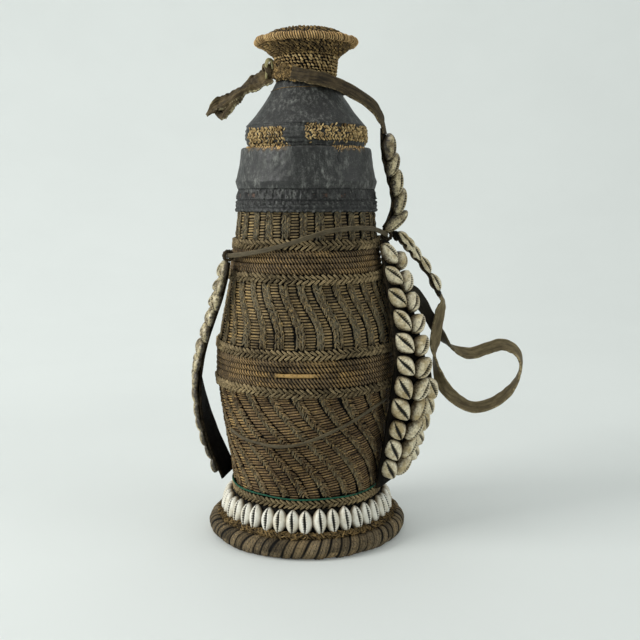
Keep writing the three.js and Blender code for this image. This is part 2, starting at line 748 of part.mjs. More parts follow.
// Side straps: each hangs on its eye, bows out from the belly and is sewn to the vessel above the foot braid.
// Its angle round the vessel and the angle that its face is turned to go from the first value to the second, and
// half-way down it swings and turns by a further amount.
const STRAP_STEPS = 24;
const strapBottom = threadLevel + GREEN_THREAD / 2 + 2 * GAP;
const SEWN_GAP = 1.2; // between a strap's lower end and the vessel at the strap's middle

function strapStations({ eyeLevel, width, bow, lean, angles, faces, halfWaySwing, halfWayTurn }) {
  const { lerp } = THREE.MathUtils;
  const top = eyeLevel - eyeReach - GAP;
  const edgeDip = (width / 2) * Math.abs(Math.sin(faces[1] - angles[1]));
  const sewnStandOff = LEATHER / 2 + SEWN_GAP + edgeDip;
  const middles = [];
  const outs = [];
  for (let i = 0; i <= STRAP_STEPS; i += 1) {
    const t = i / STRAP_STEPS;
    const ease = t * t * (3 - 2 * t);
    const z = lerp(top, strapBottom, t);
    const radius = vesselRadius(z) + lerp(eyeStandOff, sewnStandOff, ease) + bow * Math.sin(Math.PI * t ** lean);
    const halfWay = Math.sin(Math.PI * t);
    middles.push(polar(radius, lerp(...angles, ease) + halfWaySwing * halfWay, z));
    outs.push(heading(lerp(...faces, ease) + halfWayTurn * halfWay));
  }
  return stationsOf(middles, outs);
}

const COLUMN_ENDS = [0.015, 0.965]; // shares of a strap's length between which its shells are sewn

function shellColumn(name, stations, ends, count, aside, slant) {
  const seats = columnSeats(stations, LEATHER, ends[0], ends[1], count, aside, slant);
  const step = (pathLength(stations) * (ends[1] - ends[0])) / count;
  add(vessel, name, shellRow(seats, step), shell);
}

const leftStations = strapStations({
  eyeLevel: leftEyeLevel,
  width: LEFT_STRAP_WIDTH,
  bow: LEFT_STRAP_BOW,
  lean: 1.7, // above 1, the bow is fullest below the middle
  angles: [LEFT_EYE_ANGLE, degrees(178)],
  faces: [degrees(202), degrees(162)],
  halfWaySwing: 0,
  halfWayTurn: degrees(6),
});
const leftColumn = LEFT_STRAP_WIDTH / 4;
const LEFT_ENDS = [0.17, COLUMN_ENDS[1]];
const LEFT_TOP_SHARE = 0.36; // of the left strap's width at its eye

// The left strap is narrow at its eye, where it has no shells.
function leftStrap() {
  const rings = leftStations.map(({ middle, across, out }, i) => {
    const spread = THREE.MathUtils.smoothstep(i / STRAP_STEPS, 0.06, 2 * LEFT_ENDS[0]);
    const half = (LEFT_STRAP_WIDTH / 2) * THREE.MathUtils.lerp(LEFT_TOP_SHARE, 1, spread);
    const side = (a, b) => middle.clone().addScaledVector(across, a).addScaledVector(out, (b * LEATHER) / 2);
    return [side(-half, -1), side(half, -1), side(half, 1), side(-half, 1)];
  });
  return skin(rings);
}
add(vessel, "left_strap", leftStrap(), leather);
shellColumn("left_shells_front", leftStations, LEFT_ENDS, LEFT_SHELLS, -leftColumn, -SHELL_SLANT);
shellColumn("left_shells_back", leftStations, LEFT_ENDS, LEFT_SHELLS, leftColumn, SHELL_SLANT);

const rightStations = strapStations({
  eyeLevel: rightEyeLevel,
  width: RIGHT_STRAP_WIDTH + 2 * RIGHT_MARGIN,
  bow: RIGHT_STRAP_BOW,
  lean: 1.1,
  angles: [RIGHT_EYE_ANGLE, degrees(-16)],
  faces: [degrees(-20), degrees(-34)],
  halfWaySwing: degrees(-12),
  halfWayTurn: degrees(-24),
});
const rightColumn = RIGHT_STRAP_WIDTH / 4;
const lowColumn = RIGHT_STRAP_WIDTH / 2 + THIRD_COLUMN_WIDTH / 2;
const LOW_ENDS = [0.55, 0.93]; // shares of the right strap's length that the third column covers
const MIDDLE_ENDS = [0.12, COLUMN_ENDS[1]];
const TOP_SHARE = 0.5; // of the right strap's width at its eye

// The right strap is narrow at its eye and widens behind where its third column of shells is sewn.
function rightStrap() {
  const { smoothstep, lerp } = THREE.MathUtils;
  const rings = rightStations.map(({ middle, across, out }, i) => {
    const t = i / STRAP_STEPS;
    const near = smoothstep(t, LOW_ENDS[0] - 0.12, LOW_ENDS[0]);
    const far = 1 - smoothstep(t, LOW_ENDS[1], 1);
    const half = RIGHT_STRAP_WIDTH / 2;
    const spread = smoothstep(t, 0, MIDDLE_ENDS[0]);
    const back = half * lerp(TOP_SHARE, 1, spread) + THIRD_COLUMN_WIDTH * near * far;
    const front = half + RIGHT_MARGIN * spread;
    const side = (a, b) => middle.clone().addScaledVector(across, a).addScaledVector(out, (b * LEATHER) / 2);
    return [side(-back, -1), side(front, -1), side(front, 1), side(-back, 1)];
  });
  return skin(rings);
}
add(vessel, "right_strap", rightStrap(), leather);
shellColumn("right_shells_front", rightStations, COLUMN_ENDS, RIGHT_SHELLS, rightColumn, -SHELL_SLANT);
shellColumn("right_shells_middle", rightStations, MIDDLE_ENDS, RIGHT_SHELLS - 1, -rightColumn, SHELL_SLANT);
shellColumn("right_shells_low", rightStations, LOW_ENDS, RIGHT_LOW_SHELLS, -lowColumn, -SHELL_SLANT);

// Tab: it stands on the right eye and rises beside the collar to the strap from the lid
const TAB_STEPS = 12;
const TAB_FACE = degrees(-28);
const TAB_RISE = 14; // from the collar's mouth to the top of the tab

function tabStations() {
  const bottom = rightEyeLevel + eyeReach + GAP;
  const top = rimLevel + TAB_RISE;
  const topRadius = vesselRadius(rimLevel) + GAP + COLLAR_WALL + TAB_CLEAR;
  const middles = [];
  for (let i = 0; i <= TAB_STEPS; i += 1) {
    const t = i / TAB_STEPS;
    const bow = TAB_BOW * Math.sin(Math.PI * t * t);
    const radius = THREE.MathUtils.lerp(topRadius, eyeRadius(rightEyeLevel), t) + bow;
    middles.push(polar(radius, RIGHT_EYE_ANGLE, THREE.MathUtils.lerp(top, bottom, t)));
  }
  return stationsOf(middles, middles.map(() => heading(TAB_FACE)));
}
const tabPath = tabStations();
const TAB_ENDS = [0.03, 0.95];
add(vessel, "tether_tab", ribbon(tabPath, TAB_WIDTH, LEATHER), leather);
shellColumn("tether_tab_shells", tabPath, TAB_ENDS, TAB_SHELLS, 0, SHELL_SLANT);

// Handle root: a strap sewn to the right eye that runs out to the right, at offsets from the eye's middle
const ROOT_ROUTE = [
  [eyeReach + GAP, -0.4, 0],
  [eyeReach + 3.5, 2, -0.6],
  [eyeReach + 9, 8.5, -5],
  [eyeReach + 16, 12, -13],
  [eyeReach + 26, 13.5, -26],
  [eyeReach + 37.4, 14.3, -45.5],
];

// A strap through hand-set points whose face is turned towards the given direction at each point.
function strapThrough(points, faces, steps) {
  const path = new THREE.CatmullRomCurve3(points);
  const facing = new THREE.CatmullRomCurve3(faces);
  const shares = Array.from({ length: steps + 1 }, (_, i) => i / steps);
  return stationsOf(shares.map((t) => path.getPoint(t)), shares.map((t) => facing.getPoint(t)));
}

const rightEyeMiddle = polar(eyeRadius(rightEyeLevel), RIGHT_EYE_ANGLE, rightEyeLevel);
const rootPoints = ROOT_ROUTE.map(([x, y, z]) => rightEyeMiddle.clone().add(new THREE.Vector3(x, y, z)));
const ROOT_FACE = new THREE.Vector3(0.75, -0.25, 0.6);
const rootStations = strapThrough(rootPoints, rootPoints.map(() => ROOT_FACE), 10);
const ROOT_ENDS = [0.26, 0.98];
add(vessel, "handle_root", ribbon(rootStations, HANDLE_WIDTH, LEATHER), leather);
shellColumn("handle_root_shells", rootStations, ROOT_ENDS, ROOT_SHELLS, 0, 0);

// Handle strap: a free leather loop from the end of its root back to the edge of the right strap, at offsets from
// the root's end, and the direction that its face is turned to at each point
const HANDLE_ROUTE = [
  [0.35, 0, -0.6],
  [2, 0.2, -4],
  [0.6, 0.8, -13],
  [-2.6, 2, -34],
  [-2.4, 3.5, -50],
  [3.8, 4, -69.4],
  [14.3, 3, -81],
  [26.4, 0, -86.6],
  [39.6, -2, -83.8],
  [53.3, -1, -74.5],
  [61.2, 2, -63.5],
  [64.1, 6, -54.1],
  [60.8, 10, -44.6],
  [51, 12, -40],
  [39.7, 13, -43],
  [25.8, 13, -47],
  [11.6, 12, -42],
  [1.9, 10, -31.4],
  [-8.3, 5, -15.2],
  [-18.3, -3, 3.3],
];
const HANDLE_FACES = [
  [0.75, -0.25, 0.6],
  [0.75, -0.25, 0.6],
  [0.6, -0.8, 0.1],
  [0.45, -0.9, 0],
  [1, 0.1, 0],
  [0.5, 0.8, -0.3],
  [0.1, 0.8, -0.6],
  [0, 0.8, -0.6],
  [0.3, 0.7, -0.6],
  [0.7, 0.4, -0.5],
  [0.95, 0, -0.2],
  [0.95, -0.3, 0.1],
  [0.6, -0.7, 0.4],
  [0, -0.85, 0.5],
  [-0.1, -0.85, 0.5],
  [0, -0.85, 0.5],
  [0.7, -0.1, 0.65],
  [0.6, 0.75, 0.2],
  [0.5, 0.8, 0.1],
  [0.5, 0.8, 0.1],
];
const rootEnd = rootStations[rootStations.length - 1].middle;
const asVector = ([x, y, z]) => new THREE.Vector3(x, y, z);
const handlePoints = HANDLE_ROUTE.map((p) => asVector(p).add(rootEnd));
const handleStations = strapThrough(handlePoints, HANDLE_FACES.map(asVector), 60);
add(vessel, "handle_strap", ribbon(handleStations, HANDLE_WIDTH, LEATHER), leather);

// Lid: a plug in the mouth, a coiled rim on the collar, a hollow cone, a neck and a brim with a wrapped edge
const mouthRadius = vesselRadius(rimLevel) - VESSEL_WALL;
const plugRadius = mouthRadius - PLUG_CLEARANCE;
const lidSeat = rimLevel + GAP;
const coneBottom = lidSeat + LID_COIL_HEIGHT + GAP;
const coneTop = coneBottom + CONE_HEIGHT;
const lidNeckBottom = coneTop + GAP;
const lidNeckTop = lidNeckBottom + LID_NECK_HEIGHT;
const brimBottom = lidNeckTop + GAP;
const edgeLevel = brimBottom + BRIM_RISE + BRIM_EDGE / 2;
const lidCoilRadius = plugRadius + GAP + LID_COIL_WALL;
const coneBaseRadius = lidCoilRadius - CONE_STEP;
const coneMiddle = (coneBaseRadius + CONE_TOP_RADIUS) / 2 - CONE_SAG;

// The lid's outer radius from the foot of its cone to the top of its neck
function lidRadius(z) {
  const { mapLinear } = THREE.MathUtils;
  const middle = (coneBottom + coneTop) / 2;
  if (z > coneTop) return mapLinear(z, coneTop, lidNeckTop, CONE_TOP_RADIUS, CONE_TOP_RADIUS + LID_NECK_FLARE);
  if (z > middle) return mapLinear(z, middle, coneTop, coneMiddle, CONE_TOP_RADIUS);
  return mapLinear(z, coneBottom, middle, coneBaseRadius, coneMiddle);
}

function lidPlug() {
  const bottom = rimLevel - PLUG_DEPTH;
  const top = coneBottom - GAP;
  const bore = plugRadius - PLUG_WALL;
  return turned([
    [bore, bottom],
    [plugRadius, bottom],
    [plugRadius, top],
    [bore, top],
  ]);
}

function lidRimCoil() {
  const top = coneBottom - GAP;
  const bore = plugRadius + GAP;
  const swell = lidSeat + LID_COIL_HEIGHT * 0.45;
  return turned([
    [bore, lidSeat],
    [lidCoilRadius - LID_COIL_TUCK, lidSeat],
    [lidCoilRadius, swell],
    [lidCoilRadius - LID_COIL_TUCK / 4, lidSeat + LID_COIL_HEIGHT * 0.8],
    [coneBaseRadius, top],
    [bore, top],
  ]);
}

function lidCone() {
  const middle = (coneBottom + coneTop) / 2;
  const crown = coneTop - CONE_CROWN;
  return turned([
    [plugRadius - PLUG_WALL, coneBottom],
    [coneBaseRadius, coneBottom],
    [lidRadius(middle), middle],
    [CONE_TOP_RADIUS, coneTop],
    [0, coneTop],
    [0, crown],
    [lidRadius(crown) - CONE_WALL, crown],
    [lidRadius(middle) - CONE_WALL, middle],
  ]);
}

function lidNeck() {
  const wall = (z, t) => [lidRadius(z) - t, z];
  return turned([
    wall(lidNeckBottom, LID_NECK_WALL),
    wall(lidNeckBottom, 0),
    wall(lidNeckTop, 0),
    wall(lidNeckTop, LID_NECK_WALL),
  ]);
}

function lidBrim() {
  const inner = BRIM_RADIUS - BRIM_EDGE - GAP;
  return turned([
    [0, brimBottom],
    [lidRadius(lidNeckTop), brimBottom],
    [inner, edgeLevel - BRIM_EDGE / 2],
    [inner, edgeLevel + BRIM_EDGE / 4],
    [inner * 0.86, edgeLevel + BRIM_EDGE / 4 + BRIM_DOME * 0.5],
    [inner * 0.6, edgeLevel + BRIM_EDGE / 4 + BRIM_DOME * 0.86],
    [0, edgeLevel + BRIM_EDGE / 4 + BRIM_DOME],
  ]);
}

const edgeCorners = 7;
add(lid, "lid_plug", lidPlug(), weave);
add(lid, "lid_rim_coil", lidRimCoil(), tanFibre);
add(lid, "lid_cone", lidCone(), pitch);
add(lid, "lid_neck", lidNeck(), coil);
add(lid, "lid_brim", lidBrim(), coil);
const edgeRadius = BRIM_RADIUS - BRIM_EDGE / 2;
add(lid, "lid_brim_edge", roundRing(edgeRadius, edgeLevel, BRIM_EDGE, edgeCorners, 0), tanFibre);

// Tether: the noose that the lid turns in, its knot and its tail, and the strap down to the tab
const nooseLevel = lidNeckBottom + NOOSE_RISE;
const nooseHeight = (angle) => nooseLevel - NOOSE_TILT * Math.cos(angle);
const nooseRadius = (angle) => {
  const low = lidRadius(nooseHeight(angle) - NOOSE_WIDTH / 2);
  const high = lidRadius(nooseHeight(angle) + NOOSE_WIDTH / 2);
  return Math.max(low, high) + NOOSE_PLAY + NOOSE_THICKNESS / 2;
};

function noose() {
  const steps = 28;
  const up = new THREE.Vector3(0, 0, 1);
  const stations = Array.from({ length: steps }, (_, i) => {
    const a = (-i * 2 * Math.PI) / steps;
    return { middle: polar(nooseRadius(a), a, nooseHeight(a)), across: up, out: heading(a) };
  });
  return ribbon(stations, NOOSE_WIDTH, NOOSE_THICKNESS, true);
}
add(lidTether, "lid_noose", noose(), leather);

const KNOT_ANGLE = degrees(190);
const knotReach = nooseRadius(KNOT_ANGLE) + NOOSE_THICKNESS / 2 + GAP + KNOT_RADII.x;
const knotMiddle = polar(knotReach, KNOT_ANGLE, nooseHeight(KNOT_ANGLE));
const knotLump = new THREE.SphereGeometry(1, 10, 7).scale(KNOT_RADII.x, KNOT_RADII.y, KNOT_RADII.z);
const knot = add(lidTether, "lid_knot", knotLump, leather);
knot.position.copy(knotMiddle);
knot.rotation.z = KNOT_ANGLE;

// The tail's points are offsets from the knot's middle.
const TAIL_ROUTE = [
  [-0.73 * KNOT_RADII.x, -0.6, -0.79 * KNOT_RADII.z],
  [-7, -1.1, -9.9],
  [-15, -2.5, -17.5],
  [-26, -3.5, -24.5],
  [-37, -4, -30],
  [-47, -4, -36],
];
const TAIL_FACE = new THREE.Vector3(-0.3, -0.8, 0.5);
const TAIL_WIDTH = 10;
const tailPoints = TAIL_ROUTE.map((p) => asVector(p).add(knotMiddle));
const tailStations = strapThrough(tailPoints, tailPoints.map(() => TAIL_FACE), 8);
add(lidTether, "lid_tail", ribbon(tailStations, TAIL_WIDTH, LEATHER), leather);

// The strap leaves the noose at the front right and ends over the top of the tab.
const STRAP_LEAVES = degrees(-62);
const leaveReach = nooseRadius(STRAP_LEAVES) + NOOSE_THICKNESS / 2 + GAP + LEATHER / 2;
const strapStart = polar(leaveReach, STRAP_LEAVES, nooseHeight(STRAP_LEAVES));
const tabTop = tabPath[0];
const strapEnd = tabTop.middle.clone().addScaledVector(tabTop.along, -2 * GAP);
const overTab = strapEnd.clone().addScaledVector(tabTop.along, -NOOSE_WIDTH / 2);
const strapPoints = [
  strapStart,
  strapStart.clone().lerp(overTab, 0.4).add(new THREE.Vector3(3, -4, 3)),
  strapStart.clone().lerp(overTab, 0.78).add(new THREE.Vector3(3.5, -2, 3)),
  overTab,
  strapEnd,
];
const strapFaces = [STRAP_LEAVES, degrees(-45), degrees(-35), TAB_FACE, TAB_FACE].map(heading);
const lidStrapStations = strapThrough(strapPoints, strapFaces, 12);
add(lidTether, "lid_strap", ribbon(lidStrapStations, NOOSE_WIDTH, NOOSE_THICKNESS), leather);

export default jug;
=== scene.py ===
"""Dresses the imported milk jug: woven fibre, plaits and coils, pitch, leather and cowrie shells.

Sizes are millimetres in the part's own frame, +Z up and the front towards -Y, and become metres in each mesh.
"""

import logging
import math
from dataclasses import dataclass, field
from enum import Enum
from typing import Callable, Optional, Sequence

import bmesh
import bpy
import numpy as np
from mathutils import Matrix, Vector


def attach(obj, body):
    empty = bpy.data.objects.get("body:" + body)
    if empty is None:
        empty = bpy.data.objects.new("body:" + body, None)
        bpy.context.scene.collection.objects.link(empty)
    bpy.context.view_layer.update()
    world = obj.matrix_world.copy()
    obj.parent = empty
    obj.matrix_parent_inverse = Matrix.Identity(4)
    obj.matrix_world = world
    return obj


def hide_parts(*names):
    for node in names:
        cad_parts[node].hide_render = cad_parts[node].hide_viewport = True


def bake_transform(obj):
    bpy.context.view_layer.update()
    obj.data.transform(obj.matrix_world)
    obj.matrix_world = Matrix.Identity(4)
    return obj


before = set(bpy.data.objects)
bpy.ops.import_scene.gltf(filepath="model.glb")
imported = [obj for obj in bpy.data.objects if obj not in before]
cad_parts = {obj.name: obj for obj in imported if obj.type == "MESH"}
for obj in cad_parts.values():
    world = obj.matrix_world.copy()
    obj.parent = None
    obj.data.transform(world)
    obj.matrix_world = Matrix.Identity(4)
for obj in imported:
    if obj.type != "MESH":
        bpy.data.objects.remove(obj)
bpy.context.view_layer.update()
LOG = logging.getLogger("milk_jug")
MM = 0.001
FULL_TURN = 2 * math.pi
UP = np.array([0.0, 0.0, 1.0])
# The clearance between neighbouring pieces
GAP = 0.3

Array = np.ndarray
Colour = tuple[float, float, float, float]
Marks = dict[str, Array]
Material = bpy.types.Material
Obj = bpy.types.Object
Socket = bpy.types.NodeSocket
Triple = tuple[float, float, float]


def srgb(red: int, green: int, blue: int) -> Colour:
    """Turns a colour of 0 to 255 values into the linear one that a shader takes."""
    linear = [((c / 255 + 0.055) / 1.055) ** 2.4 if c > 10 else c / 255 / 12.92 for c in (red, green, blue)]
    return (*linear, 1.0)


# Shapes: curves, rings and meshes
def polar(radius: Array | float, angle: Array | float, z: Array | float) -> Array:
    """Gives points at a radius, an angle and a height."""
    r, a, h = np.broadcast_arrays(np.asarray(radius, float), angle, z)
    return np.stack([r * np.cos(a), r * np.sin(a), h], -1)


def heading(angle: Array | float) -> Array:
    """Gives the level unit direction at an angle."""
    return polar(1.0, angle, 0.0)


def tangent(angle: Array | float) -> Array:
    """Gives the level unit direction round the jug at an angle."""
    return heading(angle + math.pi / 2)


def unit(v: Array) -> Array:
    """Scales vectors to length one."""
    return v / np.linalg.norm(v, axis=-1, keepdims=True)


def smooth(x: Array | float, low: float, high: float) -> Array:
    """Eases from 0 at low to 1 at high."""
    t = np.clip((np.asarray(x, float) - low) / (high - low), 0, 1)
    return t * t * (3 - 2 * t)


def window(x: Array | float, start: float, full: float, fades: float, end: float) -> Array:
    """Eases from 0 at start to 1 at full, and from fades back to 0 at end."""
    return smooth(x, start, full) * (1 - smooth(x, fades, end))


def hump(x: Array, middle: float, width: float) -> Array:
    """Gives a soft hump that is 1 at its middle."""
    return np.exp(-(((x - middle) / width) ** 2))


def scallop(step: int, steps: int) -> float:
    """Gives the round of coiled rows of so many steps each: 0 in the joints and 1 on the backs."""
    return abs(math.sin(math.pi * step / steps))


def ring_grid(steps: int, sides: int) -> tuple[Array, Array]:
    """Gives the angles along a ring as a column and those round its section as a row."""
    return (np.arange(steps) * FULL_TURN / steps)[:, None], (np.arange(sides) * FULL_TURN / sides)[None]


def drawn_sizes(draw: np.random.Generator, count: int, *spans: tuple[float, float]) -> Array:
    """Draws the scales of copies, each way between the two ends of its span."""
    return np.stack([draw.uniform(low, high, count) for low, high in spans], -1)


def ripple(angle: Array, z: Array, seed: int, finest: int = 14, reach: float = 40.0) -> Array:
    """Gives a smooth unevenness of about -1 to 1 that closes on itself round the jug.

    Args:
        angle: Angles round the jug.
        z: Heights.
        seed: Fixes the draw.
        finest: The most waves in one turn.
        reach: The shortest wave upwards.

    Returns:
        The unevenness at each point.
    """
    draw = np.random.default_rng(seed)
    waves = 7
    total = np.zeros(np.broadcast(angle, z).shape)
    for _ in range(waves):
        turns = draw.integers(1, finest)
        rise = draw.uniform(-1, 1) * FULL_TURN / reach
        total = total + np.sin(turns * angle + rise * z + draw.uniform(0, FULL_TURN))
    return total / math.sqrt(waves)


def spline(points: Sequence[Sequence[float]], shares: Array, closed: bool = False) -> Array:
    """Samples the centripetal curve through points, as the part's source does.

    Args:
        points: The points that the curve passes.
        shares: Shares of the way along, 0 to 1.
        closed: Whether the curve runs back to its start.

    Returns:
        One point for each share.
    """
    p = np.asarray(points, float)
    count = len(p)
    made = []
    for share in shares:
        at = share * (count if closed else count - 1)
        k = min(int(math.floor(at)), count - 1 if closed else count - 2)
        w = at - k
        p1, p2 = p[k % count], p[(k + 1) % count]
        p0 = p[(k - 1) % count] if closed or k > 0 else 2 * p[0] - p[1]
        p3 = p[(k + 2) % count] if closed or k + 2 < count else 2 * p[-1] - p[-2]
        gaps = [math.sqrt(np.linalg.norm(b - a)) for a, b in ((p0, p1), (p1, p2), (p2, p3))]
        d1 = gaps[1] if gaps[1] > 1e-4 else 1.0
        d0 = gaps[0] if gaps[0] > 1e-4 else d1
        d2 = gaps[2] if gaps[2] > 1e-4 else d1
        t1 = ((p1 - p0) / d0 - (p2 - p0) / (d0 + d1) + (p2 - p1) / d1) * d1
        t2 = ((p2 - p1) / d1 - (p3 - p1) / (d1 + d2) + (p3 - p2) / d2) * d1
        made.append(p1 + t1 * w + (3 * (p2 - p1) - 2 * t1 - t2) * w**2 + (2 * (p1 - p2) + t1 + t2) * w**3)
    return np.array(made)


def mesh_piece(
    name: str,
    points: Array,
    faces: Sequence[Sequence[int]],
    corner_uv: Optional[Array] = None,
    marks: Optional[Marks] = None,
) -> Obj:
    """Makes a smooth mesh object from points in millimetres.

    Args:
        name: The piece's name.
        points: Its points.
        faces: Its faces, facing out.
        corner_uv: A UV pair for each corner of each face, in order.
        marks: Named values at its points, which its finish reads.

    Returns:
        The new object, in the scene and at the origin.
    """
    mesh = bpy.data.meshes.new(name)
    mesh.from_pydata((np.asarray(points).reshape(-1, 3) * MM).tolist(), [], [list(map(int, f)) for f in faces])
    if corner_uv is not None:
        layer = mesh.uv_layers.new(name="UVMap")
        layer.data.foreach_set("uv", np.asarray(corner_uv, np.float32).ravel())
    for mark, values in (marks or {}).items():
        attribute = mesh.attributes.new(mark, "FLOAT", "POINT")
        attribute.data.foreach_set("value", np.asarray(values, np.float32).ravel())
    mesh.shade_smooth()
    mesh.update()
    made = bpy.data.objects.new(name, mesh)
    bpy.context.scene.collection.objects.link(made)
    return made


def grid_piece(
    name: str,
    points: Array,
    wrap_rows: bool = False,
    wrap_cols: bool = True,
    flip: bool = False,
    caps: bool = False,
    uv: Optional[tuple[Array, Array]] = None,
    marks: Optional[Marks] = None,
) -> Obj:
    """Makes a mesh from a grid of points, rows by columns.

    Args:
        name: The piece's name.
        points: Points, shaped (rows, columns, 3).
        wrap_rows: Whether the last row joins the first.
        wrap_cols: Whether the last column joins the first.
        flip: Turns the faces round.
        caps: Closes the first and last rows.
        uv: A value for each row and for each column, with one more where it wraps.
        marks: Named values at the points, shaped (rows, columns).

    Returns:
        The new object.
    """
    rows, cols = points.shape[:2]
    i, j = np.meshgrid(
        np.arange(rows if wrap_rows else rows - 1), np.arange(cols if wrap_cols else cols - 1), indexing="ij"
    )
    i1, j1 = (i + 1) % rows, (j + 1) % cols
    quads = np.stack([i * cols + j, i * cols + j1, i1 * cols + j1, i1 * cols + j], -1).reshape(-1, 4)
    corners = None
    if uv is not None:
        u, v = uv
        corners = np.stack(
            [np.stack([u[i], v[j]], -1), np.stack([u[i], v[j + 1]], -1)]
            + [np.stack([u[i + 1], v[j + 1]], -1), np.stack([u[i + 1], v[j]], -1)],
            2,
        ).reshape(-1, 4, 2)
    if flip:
        quads = quads[:, ::-1]
        corners = None if corners is None else corners[:, ::-1]
    faces: list[Sequence[int]] = quads.tolist()
    if caps:
        first, last = list(range(cols)), list(range((rows - 1) * cols, rows * cols))
        faces += [first, last[::-1]] if flip else [first[::-1], last]
        if corners is not None:
            corners = np.concatenate([corners.reshape(-1, 2), np.zeros((2 * cols, 2))])
    return mesh_piece(name, points.reshape(-1, 3), faces, corners, marks)


def weld(piece: Obj) -> Obj:
    """Joins points that lie on each other, which closes the poles of a turned piece.

    Args:
        piece: The piece to close.

    Returns:
        The same piece.
    """
    work = bmesh.new()
    work.from_mesh(piece.data)
    bmesh.ops.remove_doubles(work, verts=work.verts, dist=1e-6)
    work.to_mesh(piece.data)
    work.free()
    return piece


def turned(
    name: str,
    profile: Sequence[tuple[float, float]],
    sides: int = 128,
    closed: bool = True,
    relief: Optional[Callable[[Array, Array, Array], Array]] = None,
    marks: Optional[Callable[[Array, Array, Array], Marks]] = None,
) -> Obj:
    """Turns a profile about Z.

    Args:
        name: The piece's name.
        profile: Radius and height pairs, up the outside and down the inside.
        sides: Facets round it.
        closed: Whether the profile's end joins its start.
        relief: Gives how far the surface moves outwards, from angles, heights and shares of the profile.
        marks: Gives named values in the same way.

    Returns:
        The new object.
    """
    outline = np.asarray(profile, float)
    angle = np.arange(sides) * FULL_TURN / sides
    a, z = np.meshgrid(angle, outline[:, 1])
    r = np.repeat(outline[:, :1], sides, 1)
    share = np.repeat(np.linspace(0, 1, len(outline))[:, None], sides, 1)
    if relief is not None:
        r = np.where(r > 0, r + relief(a, z, share), 0)
    made = grid_piece(
        name, polar(r, a, z), wrap_rows=closed, marks=None if marks is None else marks(a, z, share)
    )
    return weld(made) if not outline[:, 0].all() else made


@dataclass
class Path:
    """A run of stations, each with a middle and three unit directions.

    Attributes:
        middle: The stations' middles.
        along: The direction of the run at each.
        across: The direction across it.
        out: The direction that its face is turned to.
    """

    middle: Array
    along: Array
    across: Array
    out: Array

    @classmethod
    def through(cls, middles: Array, faces: Array, closed: bool = False) -> "Path":
        """Makes stations from middles and the directions that the face is turned to.

        Args:
            middles: The stations' middles.
            faces: The wanted facing at each.
            closed: Whether the run joins its own start.

        Returns:
            The path.
        """
        ahead = np.concatenate([middles[1:], middles[:1] if closed else middles[-1:]])
        behind = np.concatenate([middles[-1:] if closed else middles[:1], middles[:-1]])
        along = unit(ahead - behind)
        across = unit(np.cross(along, faces))
        return cls(middles, along, across, unit(np.cross(across, along)))

    @classmethod
    def hand_set(cls, points: Array, faces: Array, steps: int) -> "Path":
        """Makes so many steps on the smooth curves through given points and the facing at each."""
        shares = np.linspace(0, 1, steps + 1)
        return cls.through(spline(points, shares), spline(faces, shares))

    def at(self, share: float) -> "Path":
        """Gives one station, a share of the way along.

        Args:
            share: How far along, from 0 to 1.

        Returns:
            That station alone.
        """
        place = share * (len(self.middle) - 1)
        k = min(int(place), len(self.middle) - 2)

        def mixed(values: Array) -> Array:
            """Mixes two neighbours."""
            return values[k] + (values[k + 1] - values[k]) * (place - k)

        return Path(mixed(self.middle), unit(mixed(self.along)), unit(mixed(self.across)), unit(mixed(self.out)))

    @property
    def length(self) -> float:
        """The length of the run."""
        return float(np.linalg.norm(np.diff(self.middle, axis=0), axis=1).sum())


def oval(width: float, thickness: float, sides: int = 16, square: float = 5.0) -> Array:
    """Gives a strap's section: a flat oval with full edges.

    Args:
        width: Across the strap.
        thickness: Through it.
        sides: How many points the section has.
        square: 2 for an ellipse, more for fuller corners.

    Returns:
        The section's points as pairs.
    """
    a = (np.arange(sides) + 0.5) * FULL_TURN / sides
    c, s = np.cos(a), np.sin(a)
    power = 2 / square
    x = np.sign(c) * np.abs(c) ** power * width / 2
    return np.stack([x, np.sign(s) * np.abs(s) ** power * thickness / 2], -1)


def banded(flat: Array, across: Array) -> Array:
    """Gives each station its own section, from a flat one and where its points lie across the strap."""
    return np.stack([across, np.broadcast_to(flat[:, 1], across.shape)], -1)


def swept(
    name: str,
    path: Path,
    section: Array,
    closed: bool = False,
    lift: Optional[Array] = None,
    dark: Optional[Array] = None,
) -> Obj:
    """Sweeps a section along a path.

    Args:
        name: The piece's name.
        path: The stations.
        section: Pairs across and out, either one list or one for each station.
        closed: Whether the run joins its own start.
        lift: A shift outwards at each station and section point.
        dark: How much painted shade each station has.

    Returns:
        The new object, with the marks edge and cavity.
    """
    count = len(path.middle)
    parts = np.broadcast_to(section, (count, *section.shape[-2:]))
    out = parts[..., 1] if lift is None else parts[..., 1] + lift
    points = path.middle[:, None] + path.across[:, None] * parts[..., :1] + path.out[:, None] * out[..., None]
    half = np.abs(parts[..., 0]).max(1, keepdims=True)
    edge = smooth(np.abs(parts[..., 0]) / half, 0.8, 1.0)
    run = np.concatenate([[0], np.cumsum(np.linalg.norm(np.diff(path.middle, axis=0), axis=1))])
    run = np.append(run, run[-1] + 1) if closed else run
    around = np.linspace(0, 1, parts.shape[1] + 1)
    cavity = edge * 0 if dark is None else np.broadcast_to(dark[:, None], edge.shape)
    marks = {"edge": edge * (1 - cavity), "cavity": cavity}
    return grid_piece(name, points, wrap_rows=closed, flip=True, caps=not closed, uv=(run * MM, around), marks=marks)


